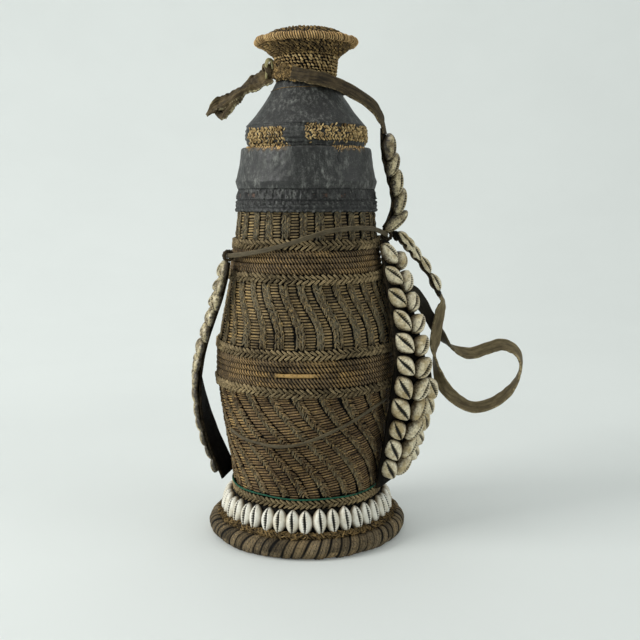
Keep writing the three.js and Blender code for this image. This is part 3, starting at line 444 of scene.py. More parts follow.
# The jug's own forms
@dataclass(frozen=True)
class VesselForm:
    """The vessel's levels and radii, as the part's source works them out."""

    mat: float = 9.0
    roll: float = 13.2
    roll_flat: float = 0.5
    inner_coil: float = 3.6
    coil_climb: float = math.radians(60)
    skirt_lean: float = math.radians(15)
    skirt_wall: float = 2.6
    shell_length: float = 15.0
    braid_height: float = 7.0
    braid_thickness: float = 2.4
    wall: float = 6.0
    rises: tuple[float, ...] = (0, 83, 26.3, 51, 23.1, 24.8, 43)
    radii: tuple[float, ...] = (52.0, 54.5, 66.2, 65.4, 55.8, 52.4, 49.6, 43.6)

    # The vessel starts over the mat, and the inner coil lies on the roll
    bottom: float = mat + GAP
    roll_level: float = roll / 2 - roll_flat
    coil_reach: float = (roll + inner_coil) / 2 + GAP
    coil_level: float = roll_level + coil_reach * math.sin(coil_climb)
    # The shells stand on the coil, and the skirt ends where they do
    shell_level: float = coil_level + inner_coil / 2 + GAP + shell_length / 2 * math.cos(skirt_lean)
    skirt_top: float = shell_level + shell_length / 2 * math.cos(skirt_lean) + GAP
    foot_braid: float = skirt_top + GAP + braid_height / 2

    @property
    def levels(self) -> tuple[float, ...]:
        """The foot plait, the four plaits above it, the collar's foot and the rim."""
        return tuple(self.foot_braid + np.cumsum(self.rises))

    def radius(self, z: Array | float) -> Array:
        """Gives the vessel's outer radius at heights.

        Args:
            z: Heights.

        Returns:
            The radii there.
        """
        zs = np.array([self.bottom, *self.levels])
        rs = np.array(self.radii)
        before, after = np.r_[zs[0], zs[:-1]], np.r_[zs[1:], zs[-1]]
        slope = (np.r_[rs[1:], rs[-1]] - np.r_[rs[0], rs[:-1]]) / (after - before)
        z = np.asarray(z, float)
        k = np.clip(np.searchsorted(zs, z) - 1, 0, len(zs) - 2)
        h = zs[k + 1] - zs[k]
        t = np.clip((z - zs[k]) / h, 0, 1)
        start = (1 + 2 * t) * (1 - t) ** 2 * rs[k] + t * (1 - t) ** 2 * h * slope[k]
        return start + t * t * (3 - 2 * t) * rs[k + 1] + t * t * (t - 1) * h * slope[k + 1]

    def at(self, z: float) -> float:
        """Gives the vessel's outer radius at one height."""
        return float(self.radius(z))

    def skirt_radius(self, z: float) -> float:
        """Gives the skirt's outer radius at a height."""
        top = self.at(self.skirt_top) + GAP + self.skirt_wall
        return top + (self.skirt_top - z) * math.tan(self.skirt_lean)

    @property
    def coil_radius(self) -> float:
        """The inner coil's middle."""
        return self.skirt_radius(self.coil_level) + GAP / math.cos(self.skirt_lean) + self.inner_coil / 2

    @property
    def roll_radius(self) -> float:
        """The foot roll's middle."""
        return self.coil_radius + self.coil_reach * math.cos(self.coil_climb)


JUG = VesselForm()
FOOT, BELLY_LOW, BELLY_HIGH, UPPER, SHOULDER, COLLAR_FOOT, RIM = JUG.levels
# Half the height of the collar's cords, and the thickness of its wall
CORD_HALF, COLLAR_WALL = 2.5, 3.2
# The thickness of the green thread, of the girdle and of the straps' leather
THREAD, GIRDLE, LEATHER = 1.2, 3.0, 2.2


# Finishes
class Shade:
    """Adds nodes to one shader tree and joins them."""

    def __init__(self, tree: bpy.types.NodeTree) -> None:
        """Keeps the tree to work on."""
        self.tree = tree

    def node(self, kind: str, given: Optional[dict[str | int, object]] = None, **settings: object) -> bpy.types.Node:
        """Adds a node with settings, and links or sets the inputs that are given.

        Args:
            kind: The kind of node.
            given: Values or links for its inputs, by name or number.
            settings: Values for its own properties.

        Returns:
            The node.
        """
        made = self.tree.nodes.new(kind)
        for key, value in settings.items():
            setattr(made, key, value)
        for key, value in (given or {}).items():
            self.put(made.inputs[key], value)
        return made

    def put(self, socket: Socket, value: object) -> None:
        """Links a socket or sets its value.

        Args:
            socket: The input.
            value: A value, or an output to link.
        """
        if isinstance(value, Socket):
            self.tree.links.new(value, socket)
        else:
            socket.default_value = value

    def math(self, kind: str, a: object, b: object = 0.0, clamp: bool = False) -> Socket:
        """Adds a math node and gives its result."""
        return self.node("ShaderNodeMath", {0: a, 1: b}, operation=kind, use_clamp=clamp).outputs[0]

    def times(self, a: object, b: object) -> Socket:
        """Multiplies two values."""
        return self.math("MULTIPLY", a, b)

    def plus(self, a: object, b: object, clamp: bool = False) -> Socket:
        """Adds two values."""
        return self.math("ADD", a, b, clamp)

    def span(self, value: object, low: float, high: float, start: float = 0.0, end: float = 1.0) -> Socket:
        """Maps a value from one span to another and keeps it inside."""
        given = dict(enumerate((value, low, high, start, end)))
        return self.node("ShaderNodeMapRange", given, interpolation_type="SMOOTHSTEP").outputs[0]

    def mix(self, share: object, a: object, b: object) -> Socket:
        """Mixes two colours."""
        return self.node("ShaderNodeMix", {0: share, 6: a, 7: b}, data_type="RGBA").outputs[2]

    def noise(self, vector: object, scale: object, detail: float = 3.0, rough: float = 0.6) -> Socket:
        """Adds a noise and gives its value."""
        given = {"Vector": vector, "Scale": scale, "Detail": detail, "Roughness": rough}
        return self.node("ShaderNodeTexNoise", given).outputs["Fac"]

    def mark(self, name: str) -> Socket:
        """Gives a named value of the piece's points."""
        return self.node("ShaderNodeAttribute", attribute_name=name).outputs["Fac"]

    def place(self, stretch: Triple = (1, 1, 1)) -> Socket:
        """Gives the piece's Object coordinates, stretched."""
        where = self.node("ShaderNodeTexCoord").outputs["Object"]
        return self.node("ShaderNodeMapping", {"Vector": where, "Scale": stretch}).outputs[0]

    def lie(self) -> Socket:
        """Gives the piece's place along and across itself."""
        return self.node("ShaderNodeUVMap", uv_map="UVMap").outputs[0]


def shader_group(name: str, inputs: dict[str, object], outputs: dict[str, str]) -> tuple[Shade, dict, bpy.types.Node]:
    """Starts a shader node group.

    Args:
        name: The group's name.
        inputs: Input names with their default values.
        outputs: Output names with their socket types.

    Returns:
        The group's shade, its input sockets by name, and its output node.
    """
    tree = bpy.data.node_groups.new(name, "ShaderNodeTree")
    for label, value in inputs.items():
        kind = "Float" if isinstance(value, (int, float)) else "Color" if len(value) == 4 else "Vector"
        socket = tree.interface.new_socket(label, in_out="INPUT", socket_type=f"NodeSocket{kind}")
        socket.default_value = value
    for label, kind in outputs.items():
        tree.interface.new_socket(label, in_out="OUTPUT", socket_type=f"NodeSocket{kind}")
    shade = Shade(tree)
    source = shade.node("NodeGroupInput")
    return shade, {s.name: s for s in source.outputs if s.name}, shade.node("NodeGroupOutput")


GREY: Colour = (0.2, 0.2, 0.2, 1.0)
# Near-black for painted shade: in leather creases, and in the cowrie's slit.
SHADE_BLACK: Colour = srgb(14, 12, 9)
SLIT_SHADE: Colour = srgb(8, 6, 5)


def fibre_tone_group() -> bpy.types.NodeTree:
    """Builds the shared tone of plant fibre: patches, flecks, golden wear, and painted shade in the gaps.

    Returns:
        The group's tree.
    """
    shade, given, out = shader_group(
        "fibre_tone",
        {
            "Vector": (0.0, 0.0, 0.0),
            "Strand": GREY,
            "Dark": GREY,
            "Light": GREY,
            "Gap": GREY,
            "Tone": 0.5,
            "Cavity": 0.0,
            "Worn": 0.0,
            "Patch Scale": 60.0,
            "Fleck Scale": 900.0,
        },
        {"Colour": "Color", "Roughness": "Float", "Height": "Float"},
    )
    patch = shade.span(shade.noise(given["Vector"], given["Patch Scale"]), 0.36, 0.64)
    fleck = shade.noise(given["Vector"], given["Fleck Scale"], 4.0)
    level = shade.plus(shade.times(given["Tone"], 0.55), shade.times(patch, 0.45))
    base = shade.mix(level, given["Dark"], given["Strand"])
    spark = shade.times(shade.span(fleck, 0.45, 0.7), shade.plus(shade.times(given["Tone"], 0.7), 0.16))
    wear = shade.times(given["Worn"], shade.span(fleck, 0.2, 0.5, 0.45, 1.0))
    golden = shade.mix(shade.plus(spark, wear, True), base, given["Light"])
    soot = shade.span(shade.noise(given["Vector"], 520.0, 5.0, 0.75), 0.5, 0.66, 0.0, 0.68)
    # Painted shade: the Cavity input darkens the hollows towards the Gap colour; the soot noise adds random grime.
    hollow = shade.math("MAXIMUM", shade.span(given["Cavity"], 0.1, 0.62), soot)
    shade.put(out.inputs["Colour"], shade.mix(hollow, golden, given["Gap"]))
    shade.put(out.inputs["Roughness"], shade.span(fleck, 0.3, 0.7, 0.66, 0.9))
    shade.put(out.inputs["Height"], fleck)
    return shade.tree


def grime_group() -> bpy.types.NodeTree:
    """Builds the shared grime: a darker film in blotches, heavier where a mask says.

    Returns:
        The group's tree.
    """
    shade, given, out = shader_group(
        "grime",
        {"Vector": (0.0, 0.0, 0.0), "Colour": GREY, "Film": GREY, "Scale": 150.0, "Amount": 0.5, "Mask": 0.0},
        {"Colour": "Color", "Height": "Float"},
    )
    blotch = shade.noise(given["Vector"], given["Scale"], 5.0, 0.65)
    film = shade.times(shade.span(blotch, 0.42, 0.68), given["Amount"])
    total = shade.plus(film, given["Mask"], True)
    shade.put(out.inputs["Colour"], shade.mix(total, given["Colour"], given["Film"]))
    shade.put(out.inputs["Height"], blotch)
    return shade.tree


class Finish:
    """A procedural finish, made once and shared by its pieces."""

    groups: dict[str, bpy.types.NodeTree] = {}

    def __init__(self, name: str) -> None:
        """Starts the material with its Principled shader.

        Args:
            name: The material's name.
        """
        self.material = bpy.data.materials.new(name)
        self.material.use_nodes = True
        self.shade = Shade(self.material.node_tree)
        self.shader = self.material.node_tree.nodes["Principled BSDF"]

    def group(self, name: str, **values: object) -> bpy.types.Node:
        """Places a shared group in this material.

        Args:
            name: The group's name.
            values: Its inputs by name, with _ for a space.

        Returns:
            The group's node.
        """
        if name not in self.groups:
            self.groups[name] = {"fibre_tone": fibre_tone_group, "grime": grime_group}[name]()
        made = self.shade.node("ShaderNodeGroup", node_tree=self.groups[name])
        for key, value in values.items():
            self.shade.put(made.inputs[key.replace("_", " ")], value)
        return made

    def bump(self, height: object, depth: float, strength: float = 1.0) -> None:
        """Feeds a height into the shader's normal, with its depth in millimetres."""
        given = {"Strength": strength, "Distance": depth * MM, "Height": height}
        self.shade.put(self.shader.inputs["Normal"], self.shade.node("ShaderNodeBump", given).outputs[0])

    def set(self, **values: object) -> None:
        """Sets or links the shader's inputs by name, with _ for a space."""
        for key, value in values.items():
            self.shade.put(self.shader.inputs[key.replace("_", " ")], value)


@dataclass(frozen=True)
class FibreFinish:
    """Woven, plaited or coiled plant fibre.

    Attributes:
        name: The finish's name.
        strand: The usual strand.
        dark: The darkest strand.
        light: Golden worn strands.
        cord: The greyer cords among the strands.
        gap_shade: Painted shade in the hollows between strands.
        patch: How fine its patches are.
    """

    name: str
    strand: Colour
    dark: Colour
    light: Colour
    cord: Colour
    gap_shade: Colour
    patch: float

    def make(self) -> Material:
        """Builds the material.

        Returns:
            The material.
        """
        finish = Finish(self.name)
        shade = finish.shade
        strand = shade.mix(shade.mark("cord"), self.strand, self.cord)
        tone = finish.group(
            "fibre_tone",
            Vector=shade.place(),
            Strand=strand,
            Dark=self.dark,
            Light=self.light,
            Gap=self.gap_shade,
            Tone=shade.mark("tone"),
            Cavity=shade.mark("cavity"),
            Worn=shade.mark("worn"),
            Patch_Scale=self.patch,
        )
        finish.set(Base_Color=tone.outputs["Colour"], Roughness=tone.outputs["Roughness"], Specular_IOR_Level=0.15)
        finish.bump(tone.outputs["Height"], 0.35, 0.8)
        return finish.material


@dataclass(frozen=True)
class PitchFinish:
    """Black pitch rubbed grey, with scuffs and golden fibre where it has worn through."""

    name: str
    coat: Colour
    scuff: Colour
    fibre: Colour
    window: Colour
    crack: Colour

    def make(self) -> Material:
        """Builds the material.

        Returns:
            The material.
        """
        finish = Finish(self.name)
        shade = finish.shade
        streak = shade.noise(shade.place((1, 1, 0.25)), 420.0, 4.0, 0.7)
        speck = shade.noise(shade.place(), 1100.0, 3.0, 0.7)
        cloud = shade.noise(shade.place(), 48.0, 3.0)
        rubbed = shade.times(shade.span(streak, 0.44, 0.72), shade.span(cloud, 0.35, 0.65, 0.25, 1.0))
        dusty = shade.plus(rubbed, shade.times(shade.span(speck, 0.5, 0.8), 0.5), True)
        grey = shade.mix(dusty, self.coat, self.scuff)
        worn = shade.mix(shade.mark("worn"), grey, self.fibre)
        opened = shade.mix(shade.mark("cord"), worn, self.window)
        # The Mask is painted shade from the cavity mark: in cracks, grooves and seams, and behind loose fibre.
        soiled = finish.group(
            "grime",
            Vector=shade.place(),
            Colour=opened,
            Film=self.crack,
            Scale=260.0,
            Amount=0.75,
            Mask=shade.mark("cavity"),
        )
        finish.set(Base_Color=soiled.outputs["Colour"], Specular_IOR_Level=0.52)
        finish.set(Roughness=shade.span(streak, 0.3, 0.7, 0.42, 0.74))
        finish.bump(shade.plus(streak, shade.times(speck, 0.5)), 0.35, 0.6)
        return finish.material


@dataclass(frozen=True)
class LeatherFinish:
    """Old hide: grain, darker blotches, edges lightened by wear and painted highlight, and painted shade in creases."""

    name: str
    hide: Colour
    dark: Colour
    edge: Colour
    rough: float = 0.6
    gloss: float = 0.25

    def make(self) -> Material:
        """Builds the material.

        Returns:
            The material.
        """
        finish = Finish(self.name)
        shade = finish.shade
        lie = shade.node("ShaderNodeMapping", {"Vector": shade.lie(), "Scale": (70.0, 34.0, 1.0)})
        streak = shade.noise(lie.outputs[0], 1.0, 5.0, 0.7)
        body = shade.mix(shade.span(streak, 0.34, 0.66), self.dark, self.hide)
        # Lighter edges: partly rubbed wear, partly painted highlight.
        rubbed = shade.times(shade.mark("edge"), shade.span(shade.noise(shade.place(), 500.0), 0.4, 0.62))
        lit = shade.mix(rubbed, body, self.edge)
        soiled = finish.group("grime", Vector=shade.place(), Colour=lit, Film=self.dark, Scale=110.0, Amount=0.6)
        # Painted shade: the cavity mark darkens creases and shaded stretches towards near-black.
        shown = shade.mix(shade.mark("cavity"), soiled.outputs["Colour"], SHADE_BLACK)
        pores = {"Vector": shade.place(), "Scale": 1100.0}
        pore = shade.node("ShaderNodeTexVoronoi", pores, feature="DISTANCE_TO_EDGE").outputs["Distance"]
        grain = shade.span(pore, 0.0, 0.3)
        finish.set(Base_Color=shown, Specular_IOR_Level=self.gloss)
        finish.set(Roughness=shade.span(grain, 0.0, 1.0, self.rough + 0.18, self.rough))
        finish.bump(shade.plus(shade.times(grain, 0.5), streak), 0.3, 0.55)
        return finish.material


@dataclass(frozen=True)
class ShellFinish:
    """Glossy cowrie with painted shade in its toothed slit, blotches of old dirt, and darker round its rim and foot."""

    name: str
    ivory: Colour
    shade: Colour
    dirt: Colour
    soil: float
    slit: Colour = SLIT_SHADE
    teeth: int = 11

    def make(self) -> Material:
        """Builds the material.

        Returns:
            The material.
        """
        finish = Finish(self.name)
        shade = finish.shade
        along, across, _ = shade.node("ShaderNodeSeparateXYZ", {0: shade.lie()}).outputs
        teeth = shade.math("SINE", shade.times(along, FULL_TURN * self.teeth))
        beside = shade.math("ABSOLUTE", shade.math("SUBTRACT", across, 0.5))
        band = shade.times(shade.span(beside, 0.04, 0.07), shade.span(beside, 0.16, 0.11))
        toothed = shade.times(band, shade.span(teeth, 0.0, 0.7))
        patch = shade.noise(shade.place(), 130.0, 3.0, 0.6)
        mottle = shade.times(shade.span(patch, 0.4, 0.66), 0.75)
        level = shade.plus(mottle, shade.times(shade.mark("tone"), 0.35), True)
        body = shade.mix(level, self.ivory, self.shade)
        soiled = finish.group(
            "grime",
            Vector=shade.place(),
            Colour=body,
            Film=self.dirt,
            Scale=620.0,
            Amount=self.soil,
            Mask=shade.times(shade.mark("edge"), 0.85),
        )
        # Painted shade in the slit and in the gaps between its teeth.
        dark = shade.plus(shade.mark("cavity"), shade.times(toothed, 0.7), True)
        finish.set(Base_Color=shade.mix(dark, soiled.outputs["Colour"], self.slit))
        finish.set(Roughness=shade.span(patch, 0.35, 0.7, 0.28, 0.55), Specular_IOR_Level=0.5)
        finish.bump(soiled.outputs["Height"], 0.12, 0.4)
        return finish.material


@dataclass(frozen=True)
class PlainFinish:
    """A soft even finish for the thread and the studio floor."""

    name: str
    colour: Colour
    second: Colour
    scale: float
    rough: float
    glow: float = 0.0

    def make(self) -> Material:
        """Builds the material.

        Returns:
            The material.
        """
        finish = Finish(self.name)
        cloud = finish.shade.noise(finish.shade.place(), self.scale)
        finish.set(Base_Color=finish.shade.mix(finish.shade.span(cloud, 0.35, 0.65), self.colour, self.second))
        finish.set(Roughness=self.rough, Specular_IOR_Level=0.25)
        finish.set(Emission_Color=self.colour, Emission_Strength=self.glow)
        return finish.material


class Look(Enum):
    """The jug's finishes."""

    LOWER_WEAVE = FibreFinish(
        "lower_weave", srgb(132, 108, 79), srgb(64, 48, 34), srgb(196, 162, 104),
        srgb(116, 111, 91), srgb(9, 7, 5), 40.0,
    )
    UPPER_WEAVE = FibreFinish(
        "upper_weave", srgb(158, 137, 102), srgb(80, 68, 51), srgb(198, 165, 106),
        srgb(108, 105, 90), srgb(9, 8, 6), 40.0,
    )
    NECK_WEAVE = FibreFinish(
        "neck_weave", srgb(142, 125, 96), srgb(68, 58, 44), srgb(188, 160, 108),
        srgb(98, 96, 84), srgb(8, 7, 5), 40.0,
    )
    PLAIT = FibreFinish(
        "plait", srgb(144, 127, 96), srgb(68, 58, 43), srgb(194, 171, 128),
        srgb(110, 102, 84), srgb(8, 7, 5), 50.0,
    )
    COIL = FibreFinish(
        "coil", srgb(140, 119, 90), srgb(68, 56, 42), srgb(190, 154, 98),
        srgb(98, 90, 74), srgb(7, 6, 4), 55.0,
    )
    ROLL = FibreFinish(
        "foot_roll", srgb(124, 110, 88), srgb(58, 50, 38), srgb(174, 148, 106),
        srgb(100, 92, 78), srgb(8, 7, 5), 45.0,
    )
    TAN = FibreFinish(
        "tan_strands", srgb(172, 142, 96), srgb(78, 60, 38), srgb(222, 194, 140),
        srgb(100, 90, 74), srgb(7, 6, 4), 80.0,
    )
    GOLD = FibreFinish(
        "golden_strands", srgb(216, 176, 118), srgb(120, 93, 59), srgb(240, 208, 152),
        srgb(110, 98, 78), srgb(7, 6, 4), 80.0,
    )
    BROWN = FibreFinish(
        "brown_fibre", srgb(96, 79, 54), srgb(44, 35, 23), srgb(172, 142, 92),
        srgb(70, 60, 44), srgb(6, 5, 3), 80.0,
    )
    PITCH = PitchFinish(
        "pitch", srgb(25, 25, 24), srgb(126, 127, 122), srgb(112, 88, 52), srgb(84, 56, 40), srgb(8, 8, 7)
    )
    STRAP_HIDE = LeatherFinish("strap_hide", srgb(24, 20, 14), srgb(7, 6, 4), srgb(60, 50, 36), 0.7, 0.06)
    OLIVE_HIDE = LeatherFinish("olive_hide", srgb(132, 117, 85), srgb(80, 69, 48), srgb(174, 158, 120), 0.5)
    GIRDLE_HIDE = LeatherFinish("girdle_hide", srgb(104, 93, 70), srgb(60, 52, 38), srgb(142, 128, 98), 0.5)
    BROWN_HIDE = LeatherFinish("brown_hide", srgb(88, 74, 51), srgb(34, 27, 18), srgb(146, 128, 92))
    TAIL_HIDE = LeatherFinish("tail_hide", srgb(108, 92, 62), srgb(42, 33, 21), srgb(196, 184, 144))
    PALE_HIDE = LeatherFinish("pale_hide", srgb(170, 162, 116), srgb(104, 94, 60), srgb(206, 198, 156), 0.5)
    WHITE_SHELL = ShellFinish("white_shell", srgb(242, 239, 228), srgb(220, 212, 192), srgb(116, 100, 74), 0.2)
    OLD_SHELL = ShellFinish("old_shell", srgb(246, 235, 204), srgb(182, 162, 118), srgb(70, 56, 36), 0.5)
    # A darker copy of the old shells, for the tab and the left strap: partly painted shade, partly heavier dirt.
    DIM_SHELL = ShellFinish("dim_shell", srgb(212, 198, 158), srgb(118, 100, 68), srgb(40, 32, 21), 0.8)
    GREEN = PlainFinish("green_plies", srgb(34, 96, 72), srgb(20, 66, 50), 700.0, 0.6)
    # The floor's glow is painted light: it lifts the shadows on the floor and lights the jug faintly from below.
    FLOOR = PlainFinish("studio_floor", srgb(213, 217, 215), srgb(211, 215, 213), 3.0, 0.7, 0.125)

    @property
    def material(self) -> Material:
        """The finish's material, built when it is first asked for."""
        return bpy.data.materials.get(self.value.name) or self.value.make()


def fit(piece: Obj, look: Optional[Look], body: str, slot: Optional[str], *nodes: str) -> Obj:
    """Dresses a piece and sets it on its body.

    Args:
        piece: The piece.
        look: Its finish, or None where it has one already.
        body: The body that it moves with.
        slot: The record's material slot; not used.
        nodes: The solids that it stands for.

    Returns:
        The piece.
    """
    if look is not None:
        piece.data.materials.clear()
        piece.data.materials.append(look.material)
    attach(piece, body)
    if nodes:
        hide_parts(*nodes)
    LOG.info("%s: %d faces on %s", piece.name, len(piece.data.polygons), body)
    return piece


@dataclass
class Spots:
    """Where copies of a shape go, gathered row by row.

    Attributes:
        rows: For each row its places, the copies' X and Z directions, and their scales.
        marks: Named values for each copy, which its finish reads.
    """

    rows: list[tuple[Array, ...]] = field(default_factory=list)
    marks: dict[str, list[Array]] = field(default_factory=dict)

    def add(self, places: Array, long: Array, out: Array, size: Array | Triple, **marks: Array) -> None:
        """Adds a row.

        Args:
            places: Where each copy goes.
            long: Each copy's X direction.
            out: Each copy's Z direction.
            size: Each copy's scale, or one for all.
            marks: Named values for each copy.
        """
        self.rows.append((places, long, out, np.broadcast_to(np.asarray(size, float), places.shape)))
        for label, values in marks.items():
            self.marks.setdefault(label, []).append(values)


class SewnCopies:
    """A Geometry Nodes tree that sets copies of one shape on marked points, with the two shapes it copies."""

    def __init__(self) -> None:
        """Builds the tree with its named inputs, the short strand and the cowrie."""
        self.tree = bpy.data.node_groups.new("sewn_copies", "GeometryNodeTree")
        face = self.tree.interface
        face.new_socket("Points", in_out="INPUT", socket_type="NodeSocketGeometry")
        kinds = {"Copy": "Object", "Size Spread": "Float", "Turn Spread": "Float", "Seed": "Int", "Finish": "Material"}
        self.inputs = [
            face.new_socket(name, in_out="INPUT", socket_type=f"NodeSocket{kind}").identifier
            for name, kind in kinds.items()
        ]
        face.new_socket("Pieces", in_out="OUTPUT", socket_type="NodeSocketGeometry")
        shade = Shade(self.tree)
        given = shade.node("NodeGroupInput").outputs
        shape = shade.node("GeometryNodeObjectInfo", {"Object": given["Copy"]})
        turns = {0: self._mark(shade, "turn"), 1: self._spread(shade, given["Turn Spread"], given["Seed"])}
        turn = shade.node("ShaderNodeVectorMath", turns, operation="ADD")
        size = self._mark(shade, "size")
        sizes = {0: self._spread(shade, given["Size Spread"], given["Seed"]), 1: size, 2: size}
        grow = shade.node("ShaderNodeVectorMath", sizes, operation="MULTIPLY_ADD")
        sown = {"Points": given["Points"], "Instance": shape.outputs["Geometry"]}
        sown |= {"Rotation": turn.outputs[0], "Scale": grow.outputs[0]}
        copies = shade.node("GeometryNodeInstanceOnPoints", sown)
        toned = {"Geometry": copies.outputs[0], "Name": "tone"}
        tone = shade.node("GeometryNodeStoreNamedAttribute", toned, data_type="FLOAT", domain="INSTANCE")
        draw = shade.node("FunctionNodeRandomValue", {"Seed": given["Seed"]}, data_type="FLOAT")
        shade.put(next(s for s in tone.inputs if s.name == "Value" and s.enabled), draw.outputs[1])
        solid = shade.node("GeometryNodeRealizeInstances", {0: tone.outputs[0]})
        dressed = shade.node("GeometryNodeSetMaterial", {"Geometry": solid.outputs[0], "Material": given["Finish"]})
        shade.node("NodeGroupOutput", {0: dressed.outputs[0]})
        self.grain, self.cowrie = grain_shape(), cowrie_shape()

    @staticmethod
    def _mark(shade: Shade, name: str) -> Socket:
        """Gives a named vector of the points."""
        made = shade.node("GeometryNodeInputNamedAttribute", {"Name": name}, data_type="FLOAT_VECTOR")
        return next(s for s in made.outputs if s.name == "Attribute" and s.enabled)

    @staticmethod
    def _spread(shade: Shade, amount: Socket, seed: Socket) -> Socket:
        """Gives a random vector between minus and plus an amount."""
        ends = {0: shade.times(amount, -1.0), 1: amount, "Seed": seed}
        return shade.node("FunctionNodeRandomValue", ends, data_type="FLOAT_VECTOR").outputs[0]

    def set_out(
        self, name: str, shape: Obj, spots: Spots, look: Look, seed: int, size_spread: float, turn_spread: float
    ) -> Obj:
        """Sets copies out and makes them one plain mesh.

        Args:
            name: The new piece's name.
            shape: The shape that is copied.
            spots: Where the copies go.
            look: Their finish.
            seed: Fixes the random spread.
            size_spread: How much sizes vary.
            turn_spread: How much copies are turned, in radians.

        Returns:
            The new piece.
        """
        places, long, out, size = (np.concatenate(parts) for parts in zip(*spots.rows))
        z = unit(out)
        y = unit(np.cross(z, long))
        x = np.cross(y, z)
        turns = [Matrix(np.stack(axes, 1)).to_euler("XYZ") for axes in zip(x, y, z)]
        marks = {label: np.concatenate(values) for label, values in spots.marks.items()}
        source = mesh_piece(name + "_points", places, [], marks=marks)
        for label, values in {"turn": turns, "size": size}.items():
            attribute = source.data.attributes.new(label, "FLOAT_VECTOR", "POINT")
            attribute.data.foreach_set("vector", np.array([tuple(v) for v in values], np.float32).ravel())
        modifier = source.modifiers.new("sewn_copies", "NODES")
        modifier.node_group = self.tree
        for socket, value in zip(self.inputs, (shape, size_spread, turn_spread, seed, look.material)):
            modifier[socket] = value
        bpy.context.view_layer.update()
        graph = bpy.context.evaluated_depsgraph_get()
        seen = source.evaluated_get(graph)
        mesh = bpy.data.meshes.new_from_object(seen, preserve_all_data_layers=True, depsgraph=graph)
        mesh.name = name
        made = bpy.data.objects.new(name, mesh)
        bpy.context.scene.collection.objects.link(made)
        bpy.data.objects.remove(source)
        return made

    def clear(self) -> None:
        """Takes the two shapes out of the scene."""
        for shape in (self.grain, self.cowrie):
            bpy.data.objects.remove(shape)


def grain_shape() -> Obj:
    """Makes the short strand that shows in plaits, coils and twined weave: 2 long, 2 wide and 2 thick.

    Returns:
        The strand to copy.
    """
    rings, sides = 5, 8
    angle = np.arange(sides) * FULL_TURN / sides
    points = [np.array([-1.0, 0, 0])]
    for k in range(1, rings):
        bend = math.pi * k / rings
        reach = math.sin(bend) ** 0.7
        points.extend(np.stack([np.full(sides, -math.cos(bend)), reach * np.cos(angle), reach * np.sin(angle)], -1))
    points.append(np.array([1.0, 0, 0]))
    last = 1 + (rings - 2) * sides
    faces: list[Sequence[int]] = []
    for j in range(sides):
        m = (j + 1) % sides
        faces.append((0, 1 + m, 1 + j))
        for row in range(1, last, sides):
            faces.append((row + j, row + m, row + sides + m, row + sides + j))
        faces.append((last + j, last + m, len(points) - 1))
    where = np.array(points)
    # Painted shade on the underside of each strand, where it lies on what it covers.
    return mesh_piece("grain", where, faces, marks={"cavity": 0.9 * smooth(-where[:, 2], -0.35, 0.55)})


def cowrie_shape() -> Obj:
    """Makes a cowrie with its slit outwards and its back ground flat, 15 long with its length on X.

    Returns:
        The shell to copy.
    """
    u = np.array([-1, -0.98, -0.92, -0.82, -0.68, -0.5, -0.3, -0.1, 0.1, 0.3, 0.5, 0.68, 0.82, 0.92, 0.98, 1.0])
    half_v = np.array([0.0, 0.07, 0.13, 0.18, 0.24, 0.34, 0.5, 0.68, 0.84, 0.95, 1.0])
    v = np.concatenate([-half_v[:0:-1], half_v])
    uu, vv = np.meshgrid(u, v, indexing="ij")
    ends = np.clip(1 - np.abs(uu) ** 2.0, 0, 1) ** 0.9
    half = 5.1 * ends * (1 + 0.12 * uu) + 0.2
    dome = np.clip(1 - np.abs(vv) ** 2.6, 0, 1) ** 0.55 * (0.2 + 0.8 * np.clip(1 - np.abs(uu) ** 2.6, 0, 1) ** 0.6)
    bend = vv - 0.07 * np.sin(uu * 2.0)
    wide = 0.1 + 0.06 * (1 - uu**2)
    slit = 1 - smooth(np.abs(bend), wide * 0.55, wide * 1.35)
    lips = hump(np.abs(bend), 0.36, 0.2)
    height = 4.7 * dome + 0.4 * lips * ends - 2.3 * slit * (0.35 + 0.65 * ends)
    x = 7.5 * uu
    top = np.stack([x, half * vv, np.maximum(height, 0.15)], -1)
    rows, cols = top.shape[:2]
    edge = [(i, 0) for i in range(rows)] + [(rows - 1, j) for j in range(1, cols)]
    edge += [(i, cols - 1) for i in range(rows - 2, -1, -1)] + [(0, j) for j in range(cols - 2, 0, -1)]
    base = np.array([top[i, j] * (0.93, 0.93, 0) - (0, 0, 1.0) for i, j in edge])
    faces: list[Sequence[int]] = []
    corners: list[tuple[float, float]] = []

    def flat(i: int, j: int) -> int:
        """Gives a point's number."""
        return i * cols + j

    def share(i: int, j: int) -> tuple[float, float]:
        """Gives a point's place along and across the shell."""
        return 0.5 + 0.5 * uu[i, j], 0.5 + 0.5 * bend[i, j]

    for i in range(rows - 1):
        for j in range(cols - 1):
            ring = [(i, j), (i + 1, j), (i + 1, j + 1), (i, j + 1)]
            faces.append([flat(*p) for p in ring])
            corners.extend(share(*p) for p in ring)
    start = rows * cols
    for k, (i, j) in enumerate(edge):
        n = (k + 1) % len(edge)
        faces.append([flat(i, j), start + k, start + n, flat(*edge[n])])
        corners.extend([share(i, j), share(i, j), share(*edge[n]), share(*edge[n])])
    faces.append([start + k for k in range(len(edge))][::-1])
    corners.extend(share(*p) for p in edge[::-1])
    points = np.concatenate([top.reshape(-1, 3), base])
    rim = np.maximum(smooth(np.abs(vv), 0.7, 1.0), smooth(np.abs(uu), 0.86, 1.0))
    # The slit is marked for painted shade; the rim is marked for darkening round the shell's edge and foot.
    marks = {"cavity": np.append(slit, np.zeros(len(edge))), "edge": np.append(rim, np.ones(len(edge)))}
    return mesh_piece("cowrie", points, faces, np.array(corners), marks)


